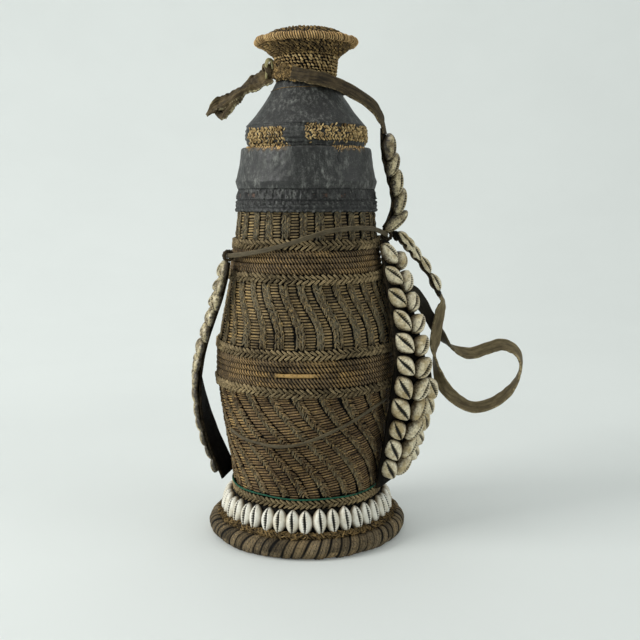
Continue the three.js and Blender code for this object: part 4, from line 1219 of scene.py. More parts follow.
# Sub-assemblies
@dataclass
class Studio:
    """The camera at the photograph's angle, the pale floor and the soft light."""

    place: tuple[float, float, float] = (10.03, -668.91, 253.35)
    dip: float = math.radians(8.034)
    lens: float = 50.6
    flat_radius: float = 500.0
    wall_radius: float = 2400.0
    wall_height: float = 3200.0

    def build(self) -> None:
        """Sets up the camera, the floor and the lights."""
        scene = bpy.context.scene
        scene.view_settings.view_transform = "Standard"
        camera = bpy.data.cameras.new("portrait_camera")
        camera.lens, camera.sensor_width = self.lens, 36.0
        holder = bpy.data.objects.new("portrait_camera", camera)
        holder.location = Vector(self.place) * MM
        holder.rotation_euler = (math.pi / 2 - self.dip, 0, 0)
        scene.collection.objects.link(holder)
        scene.camera = holder
        self._floor()
        self._light("key", (-1450, -520, 1000), 800, 20.5, (1.0, 1.0, 0.98))
        self._light("top", (-100, 100, 1700), 1300, 7.2, (1.0, 1.0, 1.0))
        self._light("side", (1400, -420, 950), 900, 4.0, (1.0, 1.0, 1.0))
        self._light("backdrop", (-500, 500, 1500), 1200, 11.5, (1.0, 1.0, 1.0), (-300, 2200, 1300))
        world = bpy.data.worlds.new("studio_air")
        world.use_nodes = True
        world.node_tree.nodes["Background"].inputs[0].default_value = (0.97, 1.0, 0.985, 1)
        world.node_tree.nodes["Background"].inputs[1].default_value = 0.3
        scene.world = world

    def _floor(self) -> None:
        """Makes the floor, which curves up into a wall all round."""
        lean = math.pi / 2 * smooth(np.linspace(0, 1, 41), 0, 1)
        run, climb = np.cumsum(np.cos(lean)), np.cumsum(np.sin(lean))
        reach = (self.wall_radius - self.flat_radius) / run[-1]
        outline = [(0.0, -0.15), (self.flat_radius, -0.15)]
        outline += [(self.flat_radius + reach * float(r), reach * float(z) - 0.15) for r, z in zip(run, climb)]
        outline.append((self.wall_radius, self.wall_height))
        floor = turned("studio_floor", outline, 96, closed=False)
        floor.data.flip_normals()
        floor.data.materials.append(Look.FLOOR.material)

    @staticmethod
    def _light(
        name: str,
        place: Sequence[float],
        size: float,
        power: float,
        colour: Sequence[float],
        aim: Sequence[float] = (0, 0, 170),
    ) -> None:
        """Hangs a square soft light that faces the jug or another aim.

        Args:
            name: The light's name.
            place: Where it stands.
            size: The length of its side.
            power: Its strength in watts.
            colour: Its colour.
            aim: The point that it faces.
        """
        lamp = bpy.data.lights.new(name, "AREA")
        lamp.energy, lamp.size, lamp.color = power, size * MM, colour
        holder = bpy.data.objects.new(name, lamp)
        holder.location = Vector(place) * MM
        holder.rotation_euler = (Vector(aim) - Vector(place)).to_track_quat("-Z", "Y").to_euler()
        bpy.context.scene.collection.objects.link(holder)


@dataclass(frozen=True)
class RibPattern:
    """What one rib of a weave is made of, as shares of its width from its groove on.

    Attributes:
        columns: Where the mesh has its columns.
        ladder: Start and end of the rungs.
        groove: How deep the groove and the bed of the stitches are.
        ladder_depth: How far the rungs lie back.
        rung_depth: How deep the gaps between rungs are.
        tilt: How far rungs rise towards their end.
        stitches: For each row of stitches its place, its pitch, its slope, its half sizes and how grey it is.
    """

    columns: tuple[float, ...]
    ladder: tuple[float, float]
    groove: float
    ladder_depth: float
    rung_depth: float
    tilt: float
    stitches: tuple[tuple[float, float, float, Triple, float], ...]


@dataclass
class WeaveZone:
    """One zone of ribbed weave round the vessel: its rungs in one mesh and its stitches set out on it."""

    name: str
    low: float
    high: float
    ribs: int
    start: float
    lean: Callable[[Array], Array]
    rungs: int
    rung_steps: int
    pattern: RibPattern
    seed: int
    tuck: float = 1.0

    def angle(self, place: Array, level: Array) -> Array:
        """Gives the angle of places, counted in ribs from the first groove on, at heights.

        Args:
            place: Places round the zone, in ribs.
            level: Heights.

        Returns:
            The angles in radians.
        """
        edges = np.arange(self.ribs + 1) + 0.1 * np.sin(2.4 * (np.arange(self.ribs + 1) % self.ribs))
        rib = np.clip(np.floor(place).astype(int), 0, self.ribs - 1)
        where = edges[rib] + (place - rib) * np.diff(edges)[rib]
        share = np.clip((level - self.low) / (self.high - self.low), 0, 1)
        return math.radians(self.start) + self.lean(1 - share) + where * FULL_TURN / self.ribs

    def build(self) -> Obj:
        """Makes the zone's mesh, with the marks cavity, tone and worn.

        Returns:
            The zone as one piece.
        """
        draw = np.random.default_rng(self.seed)
        across = np.array(self.pattern.columns)
        rows, cols = self.rungs * self.rung_steps + 1, self.ribs * len(across)
        row, col = np.meshgrid(np.arange(rows), np.arange(cols), indexing="ij")
        rib, p = col // len(across), across[col % len(across)]
        rung = np.minimum(row // self.rung_steps, self.rungs - 1)
        q = (row % self.rung_steps) / self.rung_steps
        tall = self.high - self.low + 2 * self.tuck
        level = self.low - self.tuck + row / (rows - 1) * tall
        share = np.clip((level - self.low) / (self.high - self.low), 0, 1)
        fade = np.clip(np.minimum(share, 1 - share) * 9, 0, 1)
        start, end = self.pattern.ladder
        each = (self.ribs, self.rungs)
        ragged = draw.normal(0, 0.016, each)[rib, rung]
        along = (p - start - ragged) / (end - start)
        uneven = draw.uniform(-0.5, 0.5, self.ribs)[rib]
        uneven = uneven + draw.normal(0, 0.1, each)[rib, rung] * np.sin(math.pi * q)
        z = level + (self.pattern.tilt * np.clip(along, 0, 1) + uneven * tall / self.rungs) * fade
        angle = self.angle(rib + p, level) + 0.006 * ripple(rib + p, level, self.seed + 1, 9, 16.0)
        firm = draw.uniform(0.6, 1.2, each)[rib, rung]
        inside = (p > start - 0.005) & (p < end + 0.005)
        body = (0.5 - 0.5 * np.cos(FULL_TURN * q)) ** 0.6
        crown = np.clip(1 - np.abs(2 * along - 1) ** 6, 0, 1)
        rungs = (body * firm - 1) * self.pattern.rung_depth + 0.5 * (crown - 1) - self.pattern.ladder_depth
        relief = np.where(inside, rungs, -self.pattern.groove)
        # Painted shade in the grooves, between the rungs and at their ends.
        cavity = np.where(inside, np.clip(0.74 * (1 - body) ** 0.9 + (1 - crown) * 0.3, 0, 1), 1.0)
        tone = draw.random(each)[rib, rung]
        golden = 0.6 * hump(np.degrees(angle) % 360, 212, 15)
        golden = golden + 0.2 * np.clip(ripple(angle, level * 2, self.seed + 2, 12), 0, 1)
        worn = golden * draw.random(each)[rib, rung]
        radius = JUG.radius(z) + relief + ripple(angle, z, self.seed + 5, 9, 30.0) * 0.15
        return grid_piece(self.name, polar(radius, angle, z), marks={"cavity": cavity, "tone": tone, "worn": worn})

    def stitch(self, sewn: SewnCopies, look: Look) -> Obj:
        """Sets out the rows of stitches along the ribs.

        Args:
            sewn: The tree that sets stitches out.
            look: Their finish.

        Returns:
            The stitches as one piece.
        """
        draw = np.random.default_rng(self.seed + 50)
        spots = Spots()
        for p, pitch, slope, size, grey in self.pattern.stitches:
            count = round((self.high - self.low + self.tuck) / pitch)
            rib, step = (v.ravel() for v in np.meshgrid(np.arange(self.ribs), np.arange(count), indexing="ij"))
            total = len(rib)
            z = self.low + (step + draw.random(self.ribs)[rib]) * pitch + draw.normal(0, 0.12 * pitch, total)
            z = np.clip(z, self.low - 0.5, self.high + 0.5)
            angle = self.angle(rib + p + draw.normal(0, 0.008, total), z)
            down = self.angle(rib + p, z - 1.0) - angle
            run = unit(polar(JUG.radius(z), angle + down, z - 1.0) - polar(JUG.radius(z), angle, z))
            out = heading(angle)
            side = unit(np.cross(out, -run))
            lean = slope + draw.normal(0, 0.17, total)
            places = polar(JUG.radius(z) - 0.35 + draw.normal(0, 0.14, total), angle, z)
            long = -side * np.cos(lean)[:, None] - run * np.sin(lean)[:, None]
            sizes = np.array(size) * draw.uniform(0.82, 1.18, (total, 3))
            spots.add(places, long, out, sizes, cord=np.clip(grey + draw.normal(0, 0.15, total), 0, 1))
        return sewn.set_out(self.name + "_stitches", sewn.grain, spots, look, self.seed + 60, 0.05, 0.05)


@dataclass
class Basket:
    """The vessel's wall and its three zones of ribbed weave."""

    sewn: SewnCopies
    inside_rows: int = 34
    floor_rows: int = 8
    row_steps: int = 4

    def build(self) -> None:
        """Makes the wall and the weaves."""
        fit(self._wall(), Look.COIL, "vessel", "weave_fibre", "vessel_basket")
        half = JUG.braid_height / 2 + GAP
        cord = (2.3, 0.66, 0.9)
        ladder = RibPattern(
            columns=(0, 0.04, 0.08, 0.2, 0.35, 0.48, 0.5, 0.53, 0.57, 0.64, 0.73, 0.82, 0.88, 0.92, 0.95, 0.98),
            ladder=(0.49, 0.96),
            groove=1.5,
            ladder_depth=0.3,
            rung_depth=0.95,
            tilt=0.25,
            stitches=(
                (0.12, 2.0, math.radians(68), cord, 0.9),
                (0.25, 1.9, math.radians(-64), cord, 0.95),
                (0.385, 2.0, math.radians(70), cord, 0.85),
                (0.475, 2.6, math.radians(84), (1.8, 0.42, 0.5), 0.4),
            ),
        )
        herringbone = RibPattern(
            columns=(0, 0.04, 0.09, 0.2, 0.32, 0.43, 0.45, 0.48, 0.52, 0.6, 0.68, 0.77, 0.85, 0.9, 0.935, 0.965),
            ladder=(0.44, 0.95),
            groove=1.5,
            ladder_depth=0.1,
            rung_depth=0.85,
            tilt=1.5,
            stitches=(
                (0.11, 1.75, math.radians(56), (1.9, 0.64, 1.0), 0.95),
                (0.22, 1.75, math.radians(50), (1.9, 0.66, 1.1), 0.8),
                (0.35, 1.75, math.radians(-42), (2.3, 0.66, 1.15), 0.35),
            ),
        )
        over_thread, under_cords = FOOT + half + THREAD + GAP, COLLAR_FOOT - CORD_HALF - GAP
        lower = (over_thread, BELLY_LOW - half, 23, -99.1, self._steep, 44, 4, herringbone, 11, 2.5)
        upper = (BELLY_HIGH + half, UPPER - half, 29, -109.3, self._half_way, 23, 6, ladder, 12)
        neck = (SHOULDER + half, under_cords, 26, -109.3, self._upright, 10, 6, ladder, 13)
        for look, form in ((Look.LOWER_WEAVE, lower), (Look.UPPER_WEAVE, upper), (Look.NECK_WEAVE, neck)):
            zone = WeaveZone(look.value.name, *form)
            fit(zone.build(), look, "vessel", "weave_fibre")
            fit(zone.stitch(self.sewn, look), None, "vessel", "weave_fibre")

    @staticmethod
    def _steep(down: Array) -> Array:
        """The lower ribs' lean: they run down to the right."""
        return math.radians(52) * (0.45 * down + 0.55 * smooth(down, 0, 1))

    @staticmethod
    def _half_way(down: Array) -> Array:
        """The upper ribs' lean, mostly through their upper middle."""
        return math.radians(12.8) * smooth(down, 0, 0.8)

    @staticmethod
    def _upright(down: Array) -> Array:
        """The neck's ribs stand upright."""
        return down * 0

    def _wall(self) -> Obj:
        """Makes the wall behind the weaves and the coiled inside.

        Returns:
            The wall.
        """
        outline = [(0.0, JUG.bottom)]
        for z in np.linspace(JUG.bottom, RIM, 60):
            coiled = any(low + 3 < z < high - 3 for low, high in ((BELLY_LOW, BELLY_HIGH), (UPPER, SHOULDER)))
            outline.append((JUG.at(z) - (3.2 if coiled else 2.1), z))
        outside = len(outline)
        floor, round_off = JUG.bottom + 6, 0.55
        steps = self.inside_rows * self.row_steps
        for k in range(steps + 1):
            z = RIM - (RIM - floor) * k / steps
            sunk = round_off * scallop(k, self.row_steps)
            outline.append((JUG.at(z) - JUG.wall + round_off - sunk, z))
        inner = outline[-1][0]
        steps = self.floor_rows * self.row_steps
        for k in range(1, steps + 1):
            outline.append((inner * (1 - k / steps), floor + 0.5 * scallop(k, self.row_steps)))

        def marks(a: Array, z: Array, share: Array) -> Marks:
            """Gives the coils their uneven tone, and paints shade: heavy on the wall that shows between the strands
            outside, lighter inside.
            """
            shown = share < outside / len(outline)
            return {"tone": 0.5 + 0.4 * ripple(a, z * 3, 3), "cavity": np.where(shown, 0.9, 0.35)}

        return turned("basket_wall", outline, 128, closed=False, marks=marks)


@dataclass
class Plait:
    """One plaited band: two rows of short strands that slant against each other."""

    name: str
    level: float
    node: str
    pitch: float = 3.9
    slant: float = math.radians(36)

    def build(self, sewn: SewnCopies, seed: int) -> None:
        """Makes the band.

        Args:
            sewn: The tree that sets strands out.
            seed: Fixes its unevenness.
        """
        radius = JUG.at(self.level) + GAP
        count = round(FULL_TURN * radius / self.pitch)
        spots = Spots()
        wander = np.random.default_rng(seed).uniform(0, FULL_TURN)
        for row, side in enumerate((1, -1)):
            angle = (np.arange(count) + 0.5 * row) * FULL_TURN / count
            sag = 0.35 * np.sin(3 * angle + wander) + 0.2 * np.sin(7 * angle + 2 * wander)
            for ply in (-1, 1):
                turn = angle + ply * 0.22 / radius
                z = self.level + side * (1.6 + ply * 0.31) + sag
                long = tangent(turn) * math.cos(self.slant) - UP * (side * math.sin(self.slant))
                worn = np.clip(0.15 + ripple(turn, z, seed + 3, 9), 0, 1) * 0.4
                places = polar(JUG.radius(z) + GAP + 1.0, turn, z)
                spots.add(places, long, heading(turn), (3.1, 0.5, 1.25), worn=worn)
        piece = sewn.set_out(self.name, sewn.grain, spots, Look.PLAIT, seed, 0.15, 0.14)
        fit(piece, None, "vessel", "plaited_fibre", self.node)


@dataclass
class CoilRows:
    """One unbroken bundle wound round a band of the vessel, with its wrapping stitches."""

    name: str
    node: str
    low: float
    high: float
    turns: int
    stitches: int
    bare: Optional[tuple[int, float, float]] = None
    recess: float = 3.0
    row_gap: float = 0.5
    sides: int = 10
    steps: int = 7

    def build(self, seed: int) -> None:
        """Makes the wound bundle.

        Args:
            seed: Fixes its unevenness.
        """
        bottom = self.low + JUG.braid_height / 2 + GAP
        top = self.high - JUG.braid_height / 2 - GAP
        pitch = (top - bottom + self.row_gap) / (self.turns + 1)
        thick = pitch - self.row_gap
        spare = 0.8
        count = round((self.turns + 2 * spare) * self.stitches) * self.steps
        turn = np.arange(count + 1) / (self.stitches * self.steps) - spare
        angle = turn * FULL_TURN
        z = bottom + thick / 2 + np.clip(turn, -0.12, self.turns + 0.12) * pitch
        wall = np.maximum(JUG.radius(z - thick / 2), JUG.radius(z + thick / 2)) - self.recess
        middle = polar(wall + GAP + thick / 2 + 0.15, angle, z)
        around = np.arange(self.sides) * FULL_TURN / self.sides
        a, t, lap, rise = angle[:, None], around[None], turn[:, None], z[:, None]
        stitch = np.abs(np.sin(math.pi * (lap * self.stitches + 0.6 * np.sin(t))))
        front = np.degrees(a) % 360
        worn = np.clip(ripple(a, rise * 2, seed, 11, 25.0), 0, 1) * 0.3 + 0 * t
        calm = np.zeros(worn.shape)
        if self.bare is not None:
            row, start, end = self.bare
            strip = window(front, start - 3, start + 4, end - 4, end + 3)
            calm = np.where(np.floor(lap) == row, strip, 0) + 0 * t
            patch = window(front, 222, 236, 292, 306) * window(lap, row - 0.3, row + 0.2, row + 1.0, row + 1.6)
            rubbed = 0.45 * patch * (0.5 + 0.5 * ripple(a * 5, rise, seed + 1))
            worn = np.clip(worn + rubbed + 0.65 * calm, 0, 1)
        swell = 0.66 * (stitch**0.7 - 0.6) * (1 - calm) + 0.12 * ripple(a * 3, rise, seed + 2) - 0.35 * calm
        size = (thick / 2 + 0.2 + swell)[..., None]
        points = middle[:, None] + size * (heading(a) * np.cos(t)[..., None] + UP * np.sin(t)[..., None])
        # Painted shade on the bundle's sides towards the wall and the next rows, and between its stitches.
        inner = smooth(-np.cos(t) + 0 * a, -0.55, 0.25)
        cavity = np.clip(inner + 0.95 * (1 - stitch) * (1 - calm), 0, 1)
        tone = np.repeat(np.random.default_rng(seed).random(count // self.steps + 1), self.steps)[: count + 1]
        marks = {"cavity": cavity, "worn": worn, "tone": np.clip(tone[:, None] * 0.8 + calm * 0.5, 0, 1) + 0 * t}
        piece = grid_piece(self.name, points, flip=True, caps=True, marks=marks)
        fit(piece, Look.COIL, "vessel", "coil_fibre", self.node)


def wrapped_ring(
    name: str,
    radius: float,
    level: float,
    thick: float,
    wraps: int,
    relief: float,
    seed: int,
    slant: float = 0.6,
    floor: float = -1e9,
    sides: int = 18,
    steps: int = 5,
    twist: int = 0,
    full: float = 0.6,
    plies: int = 1,
) -> Obj:
    """Makes a ring wrapped with strands.

    Args:
        name: The piece's name.
        radius: To the ring's middle.
        level: The height of its middle.
        thick: Its diameter.
        wraps: How many strands go round it.
        relief: How far strands stand out.
        seed: Fixes its unevenness.
        slant: How much a strand leans on its way round, in strands.
        floor: The height that it is flat at.
        sides: Facets round its section.
        steps: Rows for each strand.
        twist: How many strands further a strand is once it has gone round.
        full: How sharply a strand rises; less gives flatter bands.
        plies: How many finer strands lie side by side in each.

    Returns:
        The ring, with the marks cavity, tone and worn.
    """
    draw = np.random.default_rng(seed)
    count = wraps * steps
    a, t = ring_grid(count, sides)
    uneven = 0.3 * ripple(a, 0 * a, seed + 3, 24) if twist else 0.0
    phase = np.arange(count)[:, None] / steps + slant * np.sin(t) + twist * t / FULL_TURN + uneven
    strand = np.abs(np.sin(math.pi * phase)) ** full
    ply = np.abs(np.sin(math.pi * plies * phase)) ** full
    pick = np.floor(phase).astype(int) % wraps
    proud = draw.uniform(0.5, 1.2, wraps)[pick]
    band = strand if plies == 1 else 0.55 * strand + 0.45 * ply
    size = thick / 2 - relief + relief * band * proud * 1.6 + ripple(a, t * 3, seed + 1, 20) * thick * 0.012
    r = radius + size * np.cos(t)
    z = np.maximum(level + size * np.sin(t), floor)
    tone = draw.random(wraps)[pick]
    worn = np.clip(ripple(a, t * 4, seed + 2, 12), 0, 1) * 0.4 * draw.random(wraps)[pick]
    # Painted shade between the strands, and between their plies.
    hollow = 1.1 * (1 - strand) ** 0.9
    if plies > 1:
        hollow = np.maximum(1.05 * hollow * (0.5 + 0.5 * draw.random(wraps)[pick]), 0.75 * (1 - ply))
    marks = {"cavity": np.clip(hollow, 0, 1), "tone": tone, "worn": worn}
    return grid_piece(name, polar(r, a + 0 * t, z), wrap_rows=True, flip=True, marks=marks)


@dataclass
class Foot:
    """The skirt, its row of cowries, the two coils and the mat."""

    sewn: SewnCopies
    shells: int = 40
    seat: float = 1.1
    ribs: int = 110
    mat_rows: int = 9

    def build(self) -> None:
        """Makes the foot."""
        roll = wrapped_ring(
            "foot_roll_wrap", JUG.roll_radius, JUG.roll_level, JUG.roll, wraps=60, relief=0.6, seed=31,
            slant=0.0, floor=0.0, sides=24, steps=18, twist=-2, full=0.5, plies=3,
        )
        fit(roll, Look.ROLL, "vessel", "coil_fibre", "foot_roll")
        thick = JUG.inner_coil + 2.6
        coil = wrapped_ring("foot_inner_coil_wrap", JUG.coil_radius, JUG.coil_level, thick, 150, 0.9, 32, 1.2)
        fit(coil, Look.BROWN, "vessel", "tan_fibre", "foot_inner_coil")
        self._frayed()
        self._skirt()
        self._mat()
        self._cowries()

    def _frayed(self) -> None:
        """Scatters frayed fibre over the inner coil."""
        draw = np.random.default_rng(33)
        count = 900
        angle = draw.uniform(0, FULL_TURN, count)
        tilt = draw.uniform(0.1, 1.9, count)
        reach = JUG.inner_coil / 2 + draw.uniform(0.6, 1.9, count)
        r = JUG.coil_radius + reach * np.cos(tilt) + draw.uniform(-0.4, 2.4, count)
        z = JUG.coil_level + reach * np.sin(tilt) - 0.3
        out = heading(angle) * np.cos(tilt)[:, None] + UP * np.sin(tilt)[:, None]
        level = tangent(angle)
        side = draw.uniform(-1.2, 1.2, count)[:, None]
        long = level * np.cos(side) + np.cross(out, level) * np.sin(side)
        size = drawn_sizes(draw, count, (1.2, 2.8), (0.25, 0.5), (0.25, 0.45))
        spots = Spots()
        spots.add(polar(r, angle, z), long, out, size, worn=draw.uniform(0, 0.5, count))
        piece = self.sewn.set_out("foot_frayed_fibre", self.sewn.grain, spots, Look.BROWN, 34, 0.1, 0.25)
        fit(piece, None, "vessel", "tan_fibre")

    def _skirt(self) -> None:
        """Makes the skirt behind the shells."""
        low, high = JUG.bottom, JUG.skirt_top
        outline = [(JUG.skirt_radius(z) - 0.2, z) for z in np.linspace(low + 1.5, high, 14)]
        outline += [(JUG.at(high) + GAP, high), (JUG.at(low) + GAP, low + 1.5)]

        def relief(a: Array, z: Array, share: Array) -> Array:
            """Roughens the skirt with upright strands."""
            return 0.3 * np.abs(np.sin(a * self.ribs)) * (share < 0.85)

        def marks(a: Array, z: Array, share: Array) -> Marks:
            """Paints shade on the skirt, heaviest between its strands."""
            return {"cavity": 0.55 + 0.3 * np.abs(np.cos(a * self.ribs)), "tone": 0.3 + 0 * a}

        skirt = turned("foot_skirt_weave", outline, 4 * self.ribs, relief=relief, marks=marks)
        fit(skirt, Look.COIL, "vessel", "weave_fibre", "foot_skirt")

    def _mat(self) -> None:
        """Makes the coiled mat under the foot."""
        radius = JUG.roll_radius - JUG.roll / 2 + 0.4
        row_steps = 6
        steps = self.mat_rows * row_steps
        outline = [(0.0, 0.2)]
        outline += [(radius * k / steps, 0.9 * (1 - scallop(k, row_steps)) + 0.1) for k in range(1, steps + 1)]
        outline += [(radius, JUG.mat), (0.0, JUG.mat)]

        def marks(a: Array, z: Array, share: Array) -> Marks:
            """Paints shade in the joints between the coils."""
            return {"cavity": np.clip((z - 0.1) / 0.9, 0, 1) * (z < 2), "tone": 0.4 + 0.4 * ripple(a * 3, z, 36)}

        mat = turned("foot_mat_coil", outline, 160, closed=False, marks=marks)
        fit(mat, Look.COIL, "vessel", "coil_fibre", "foot_mat")

    def _cowries(self) -> None:
        """Sews the row of cowries to the skirt."""
        angle = -math.pi / 2 + np.arange(self.shells) * FULL_TURN / self.shells
        lean = JUG.skirt_lean
        r = JUG.skirt_radius(JUG.shell_level) + self.seat * math.cos(lean)
        long = UP * math.cos(lean) - heading(angle) * math.sin(lean)
        out = heading(angle) * math.cos(lean) + UP * math.sin(lean)
        draw = np.random.default_rng(35)
        turn = angle + draw.normal(0, 0.006, self.shells)
        z = JUG.shell_level - 0.9 + self.seat * math.sin(lean) + draw.normal(0, 0.4, self.shells)
        spots = Spots()
        spots.add(polar(r, turn, z), long, out, drawn_sizes(draw, self.shells, (1.2, 1.3), (0.99, 1.09), (0.9, 1.02)))
        piece = self.sewn.set_out("foot_cowries", self.sewn.cowrie, spots, Look.WHITE_SHELL, 35, 0.03, 0.07)
        fit(piece, None, "vessel", "shell", "foot_shell_row")


@dataclass
class Collar:
    """The cords, the stitched band and the pitch-coated sleeve round the neck."""

    sewn: SewnCopies
    wall: float = COLLAR_WALL
    bulge: float = 1.2
    band_low: float = COLLAR_FOOT + CORD_HALF + GAP
    band_high: float = band_low + 11
    cells: int = 46
    cell_sides: int = 14

    def build(self) -> None:
        """Makes the collar."""
        fit(self._cords(), Look.PITCH, "vessel", "pitch_coat", "collar_rim_cord")
        fit(self._band(), Look.PITCH, "vessel", "pitch_coat", "collar_stitched_band")
        fit(self._sleeve(), Look.PITCH, "vessel", "pitch_coat", "collar_sleeve")
        self._mouth()

    def _cords(self) -> Obj:
        """Makes the rolled cord and the twisted one over it as a single ring.

        Returns:
            The two cords as one piece.
        """
        a, t = ring_grid(720, 20)
        low = np.sin(t) < 0
        plies = 0.5 + 0.5 * np.cos(2 * t + a * 74)
        thick = np.where(low, 1.6 + 0.25 * np.cos(2 * t - a * 66), 0.95 + 0.65 * plies)
        level = COLLAR_FOOT + np.where(low, -0.7, 1.25) * np.abs(np.sin(t)) ** 0.4
        z = level + thick * np.sin(t)
        r = JUG.radius(COLLAR_FOOT + 0 * z) + 1.5 + thick * np.cos(t) * np.where(low, 1.0, 0.85)
        sag = 0.3 * ripple(a, 0 * a, 41, 6) + 0.25 * ripple(a * 9, 0 * a, 39)
        groove = hump(np.sin(t), 0, 0.3) * (np.cos(t) > 0)
        lumps = 0.5 * np.clip(ripple(a * 13, 3 * t, 38), 0, 1)
        # Painted shade in the groove between the cords and between the plies, with random dark lumps.
        cavity = np.clip(groove * 0.9 + np.where(low, 0, (1 - plies) ** 2 * 0.6) + lumps, 0, 1)
        points = polar(r - groove * 0.9, a + 0 * t, z + sag)
        return grid_piece("collar_cords", points, wrap_rows=True, flip=True, marks={"cavity": cavity})

    def _band(self) -> Obj:
        """Makes the band with its stitches and small windows.

        Returns:
            The band.
        """
        draw = np.random.default_rng(42)
        opened = draw.random(self.cells) < 0.24
        levels = np.linspace(self.band_low - 0.6, self.band_high + 0.4, 30)
        outline = [(JUG.at(z) + GAP + 1.7, z) for z in levels]

        def cell(a: Array, z: Array) -> tuple[Array, Array, Array]:
            """Gives the share across a cell, the share up the band and whether the cell is open.

            Args:
                a: Angles in radians.
                z: Heights.

            Returns:
                The two shares, and whether the cell is open.
            """
            place = (a / FULL_TURN * self.cells) % self.cells
            up = (z - self.band_low) / (self.band_high - self.band_low)
            return place % 1, up, opened[place.astype(int) % self.cells]

        def hollow(a: Array, z: Array) -> Array:
            """Gives 1 inside an open window."""
            x, y, is_open = cell(a, z)
            return window(x, 0.2, 0.3, 0.7, 0.8) * window(y, 0.4, 0.48, 0.68, 0.76) * is_open

        def seam(y: Array) -> Array:
            """Gives 1 on the seam between the two cords."""
            return hump(y, 0.27, 0.05)

        def relief(a: Array, z: Array, share: Array) -> Array:
            """Raises the stitches and sinks the windows.

            Args:
                a: Angles in radians.
                z: Heights.
                share: Places along the outline, from 0 to 1; not used.

            Returns:
                How far the points are raised.
            """
            x, y, _ = cell(a, z)
            stitch = hump((x - 0.05) % 1, 0, 0.1) * window(y, 0.28, 0.36, 0.8, 0.88)
            low_cord = hump(y, 0.14, 0.12) * (0.5 + 0.5 * np.sin(a * 78 + y * 9))
            mid_cord = hump(y, 0.35, 0.06) * (0.45 + 0.55 * np.sin(a * 64 - y * 9))
            lumps = 0.26 * ripple(a * 9, z * 5, 43) + 0.2 * ripple(a * 21, z * 8, 40)
            return 0.8 * stitch + 0.8 * low_cord + 0.7 * mid_cord - 0.8 * hollow(a, z) - 0.7 * seam(y) + lumps

        def marks(a: Array, z: Array, share: Array) -> Marks:
            """Marks the windows, and adds painted shade round their frames, in the seams and in random dark patches.

            Args:
                a: Angles in radians.
                z: Heights.
                share: Places along the outline, from 0 to 1; not used.

            Returns:
                The marks by name.
            """
            _, y, _ = cell(a, z)
            inside = hollow(a, z)
            frame_line = np.clip(4 * inside * (1 - inside), 0, 1)
            rough = 0.95 * np.clip(ripple(a * 11, z * 7, 49, 16, 12.0) + 0.4, 0, 1)
            return {"cord": inside, "cavity": np.clip(frame_line + seam(y) * 0.7 + rough, 0, 1)}

        sides = self.cells * self.cell_sides
        return turned("collar_stitches", outline, sides, closed=False, relief=relief, marks=marks)

    def _sleeve(self) -> Obj:
        """Makes the coated sleeve with its ridge, its crack and its worn mouth.

        Returns:
            The sleeve.
        """
        low = self.band_high + GAP
        ridge = low + (RIM - low) / 6
        levels = (low - 0.6, low + 1.2, ridge, ridge + 3.5, (ridge + RIM) / 2)
        stands = (2.2, 3.0, self.wall + self.bulge, 3.75, 3.3)
        zs = np.linspace(low - 0.4, RIM - 1.0, 44)
        outline = [(JUG.at(z) + GAP + float(np.interp(z, levels, stands)), z) for z in zs]
        edge = JUG.at(RIM) + GAP
        outline += [(edge + 2.9, RIM - 0.35), (edge + 2.2, RIM), (edge + 0.6, RIM), (edge, RIM - 0.6)]
        outline += [(edge + 0.2, RIM - 8), (edge + 0.8, RIM - 14)]

        def crack(a: Array, z: Array) -> Array:
            """Gives 1 on the crack below the mouth.

            Args:
                a: Angles in radians.
                z: Heights.

            Returns:
                The share of crack, from 0 to 1.
            """
            line = math.radians(-62) + 0.016 * np.sin(z * 0.9) + 0.008 * np.sin(z * 2.3)
            away = np.abs((a - line + math.pi) % FULL_TURN - math.pi)
            return hump(away, 0, 0.011) * smooth(z, RIM - 13, RIM - 10)

        def bare(a: Array, z: Array) -> Array:
            """Gives 1 where the coat has worn off the mouth.

            Args:
                a: Angles in radians.
                z: Heights.

            Returns:
                The share that is worn, from 0 to 1.
            """
            turn = np.degrees(a) % 360
            left, right = window(turn, 205, 214, 250, 258), window(turn, 293, 299, 322, 335)
            behind = window(turn, 60, 70, 105, 120)
            depth = 2.0 + 0.9 * ripple(a * 4, z, 44)
            return (left * 0.9 + right * 1.3 + behind) * smooth(z, RIM - depth - 1.6, RIM - depth + 0.2)

        def relief(a: Array, z: Array, share: Array) -> Array:
            """Gives the coat its lumps, the crack and the worn edge."""
            lumps = 0.16 * ripple(a, z, 45, 22, 14.0) + 0.1 * ripple(a * 3, z, 46, 20, 6.0)
            return lumps - 0.8 * crack(a, z) - 0.7 * np.clip(bare(a, z), 0, 1)

        def marks(a: Array, z: Array, share: Array) -> Marks:
            """Marks painted shade in the crack, and the bare fibre."""
            return {"cavity": crack(a, z), "worn": np.clip(bare(a, z), 0, 1) * 0.55}

        return turned("collar_coat", outline, 480, relief=relief, marks=marks)

    def _mouth(self) -> None:
        """Sets out the fibre stitches that show where the mouth has worn."""
        draw = np.random.default_rng(47)
        edge = JUG.at(RIM) + GAP + self.wall - 0.5
        spots = Spots()
        for start, end, rows in ((206, 257, 2), (294, 333, 3), (62, 118, 2)):
            turns = np.arange(start, end, 2.4)
            for row in range(rows):
                angle = np.radians(turns + 1.2 * (row % 2)) + draw.normal(0, 0.006, len(turns))
                z = RIM - 0.6 - 1.7 * row + draw.normal(0, 0.25, len(turns))
                long = tangent(angle) * 0.55 + UP * 0.8
                spots.add(polar(edge - 0.25 + 0.1 * row, angle, z), long, heading(angle), (1.05, 0.5, 0.6))
        piece = self.sewn.set_out("mouth_stitches", self.sewn.grain, spots, Look.GOLD, 48, 0.3, 0.4)
        fit(piece, None, "vessel", "tan_fibre")


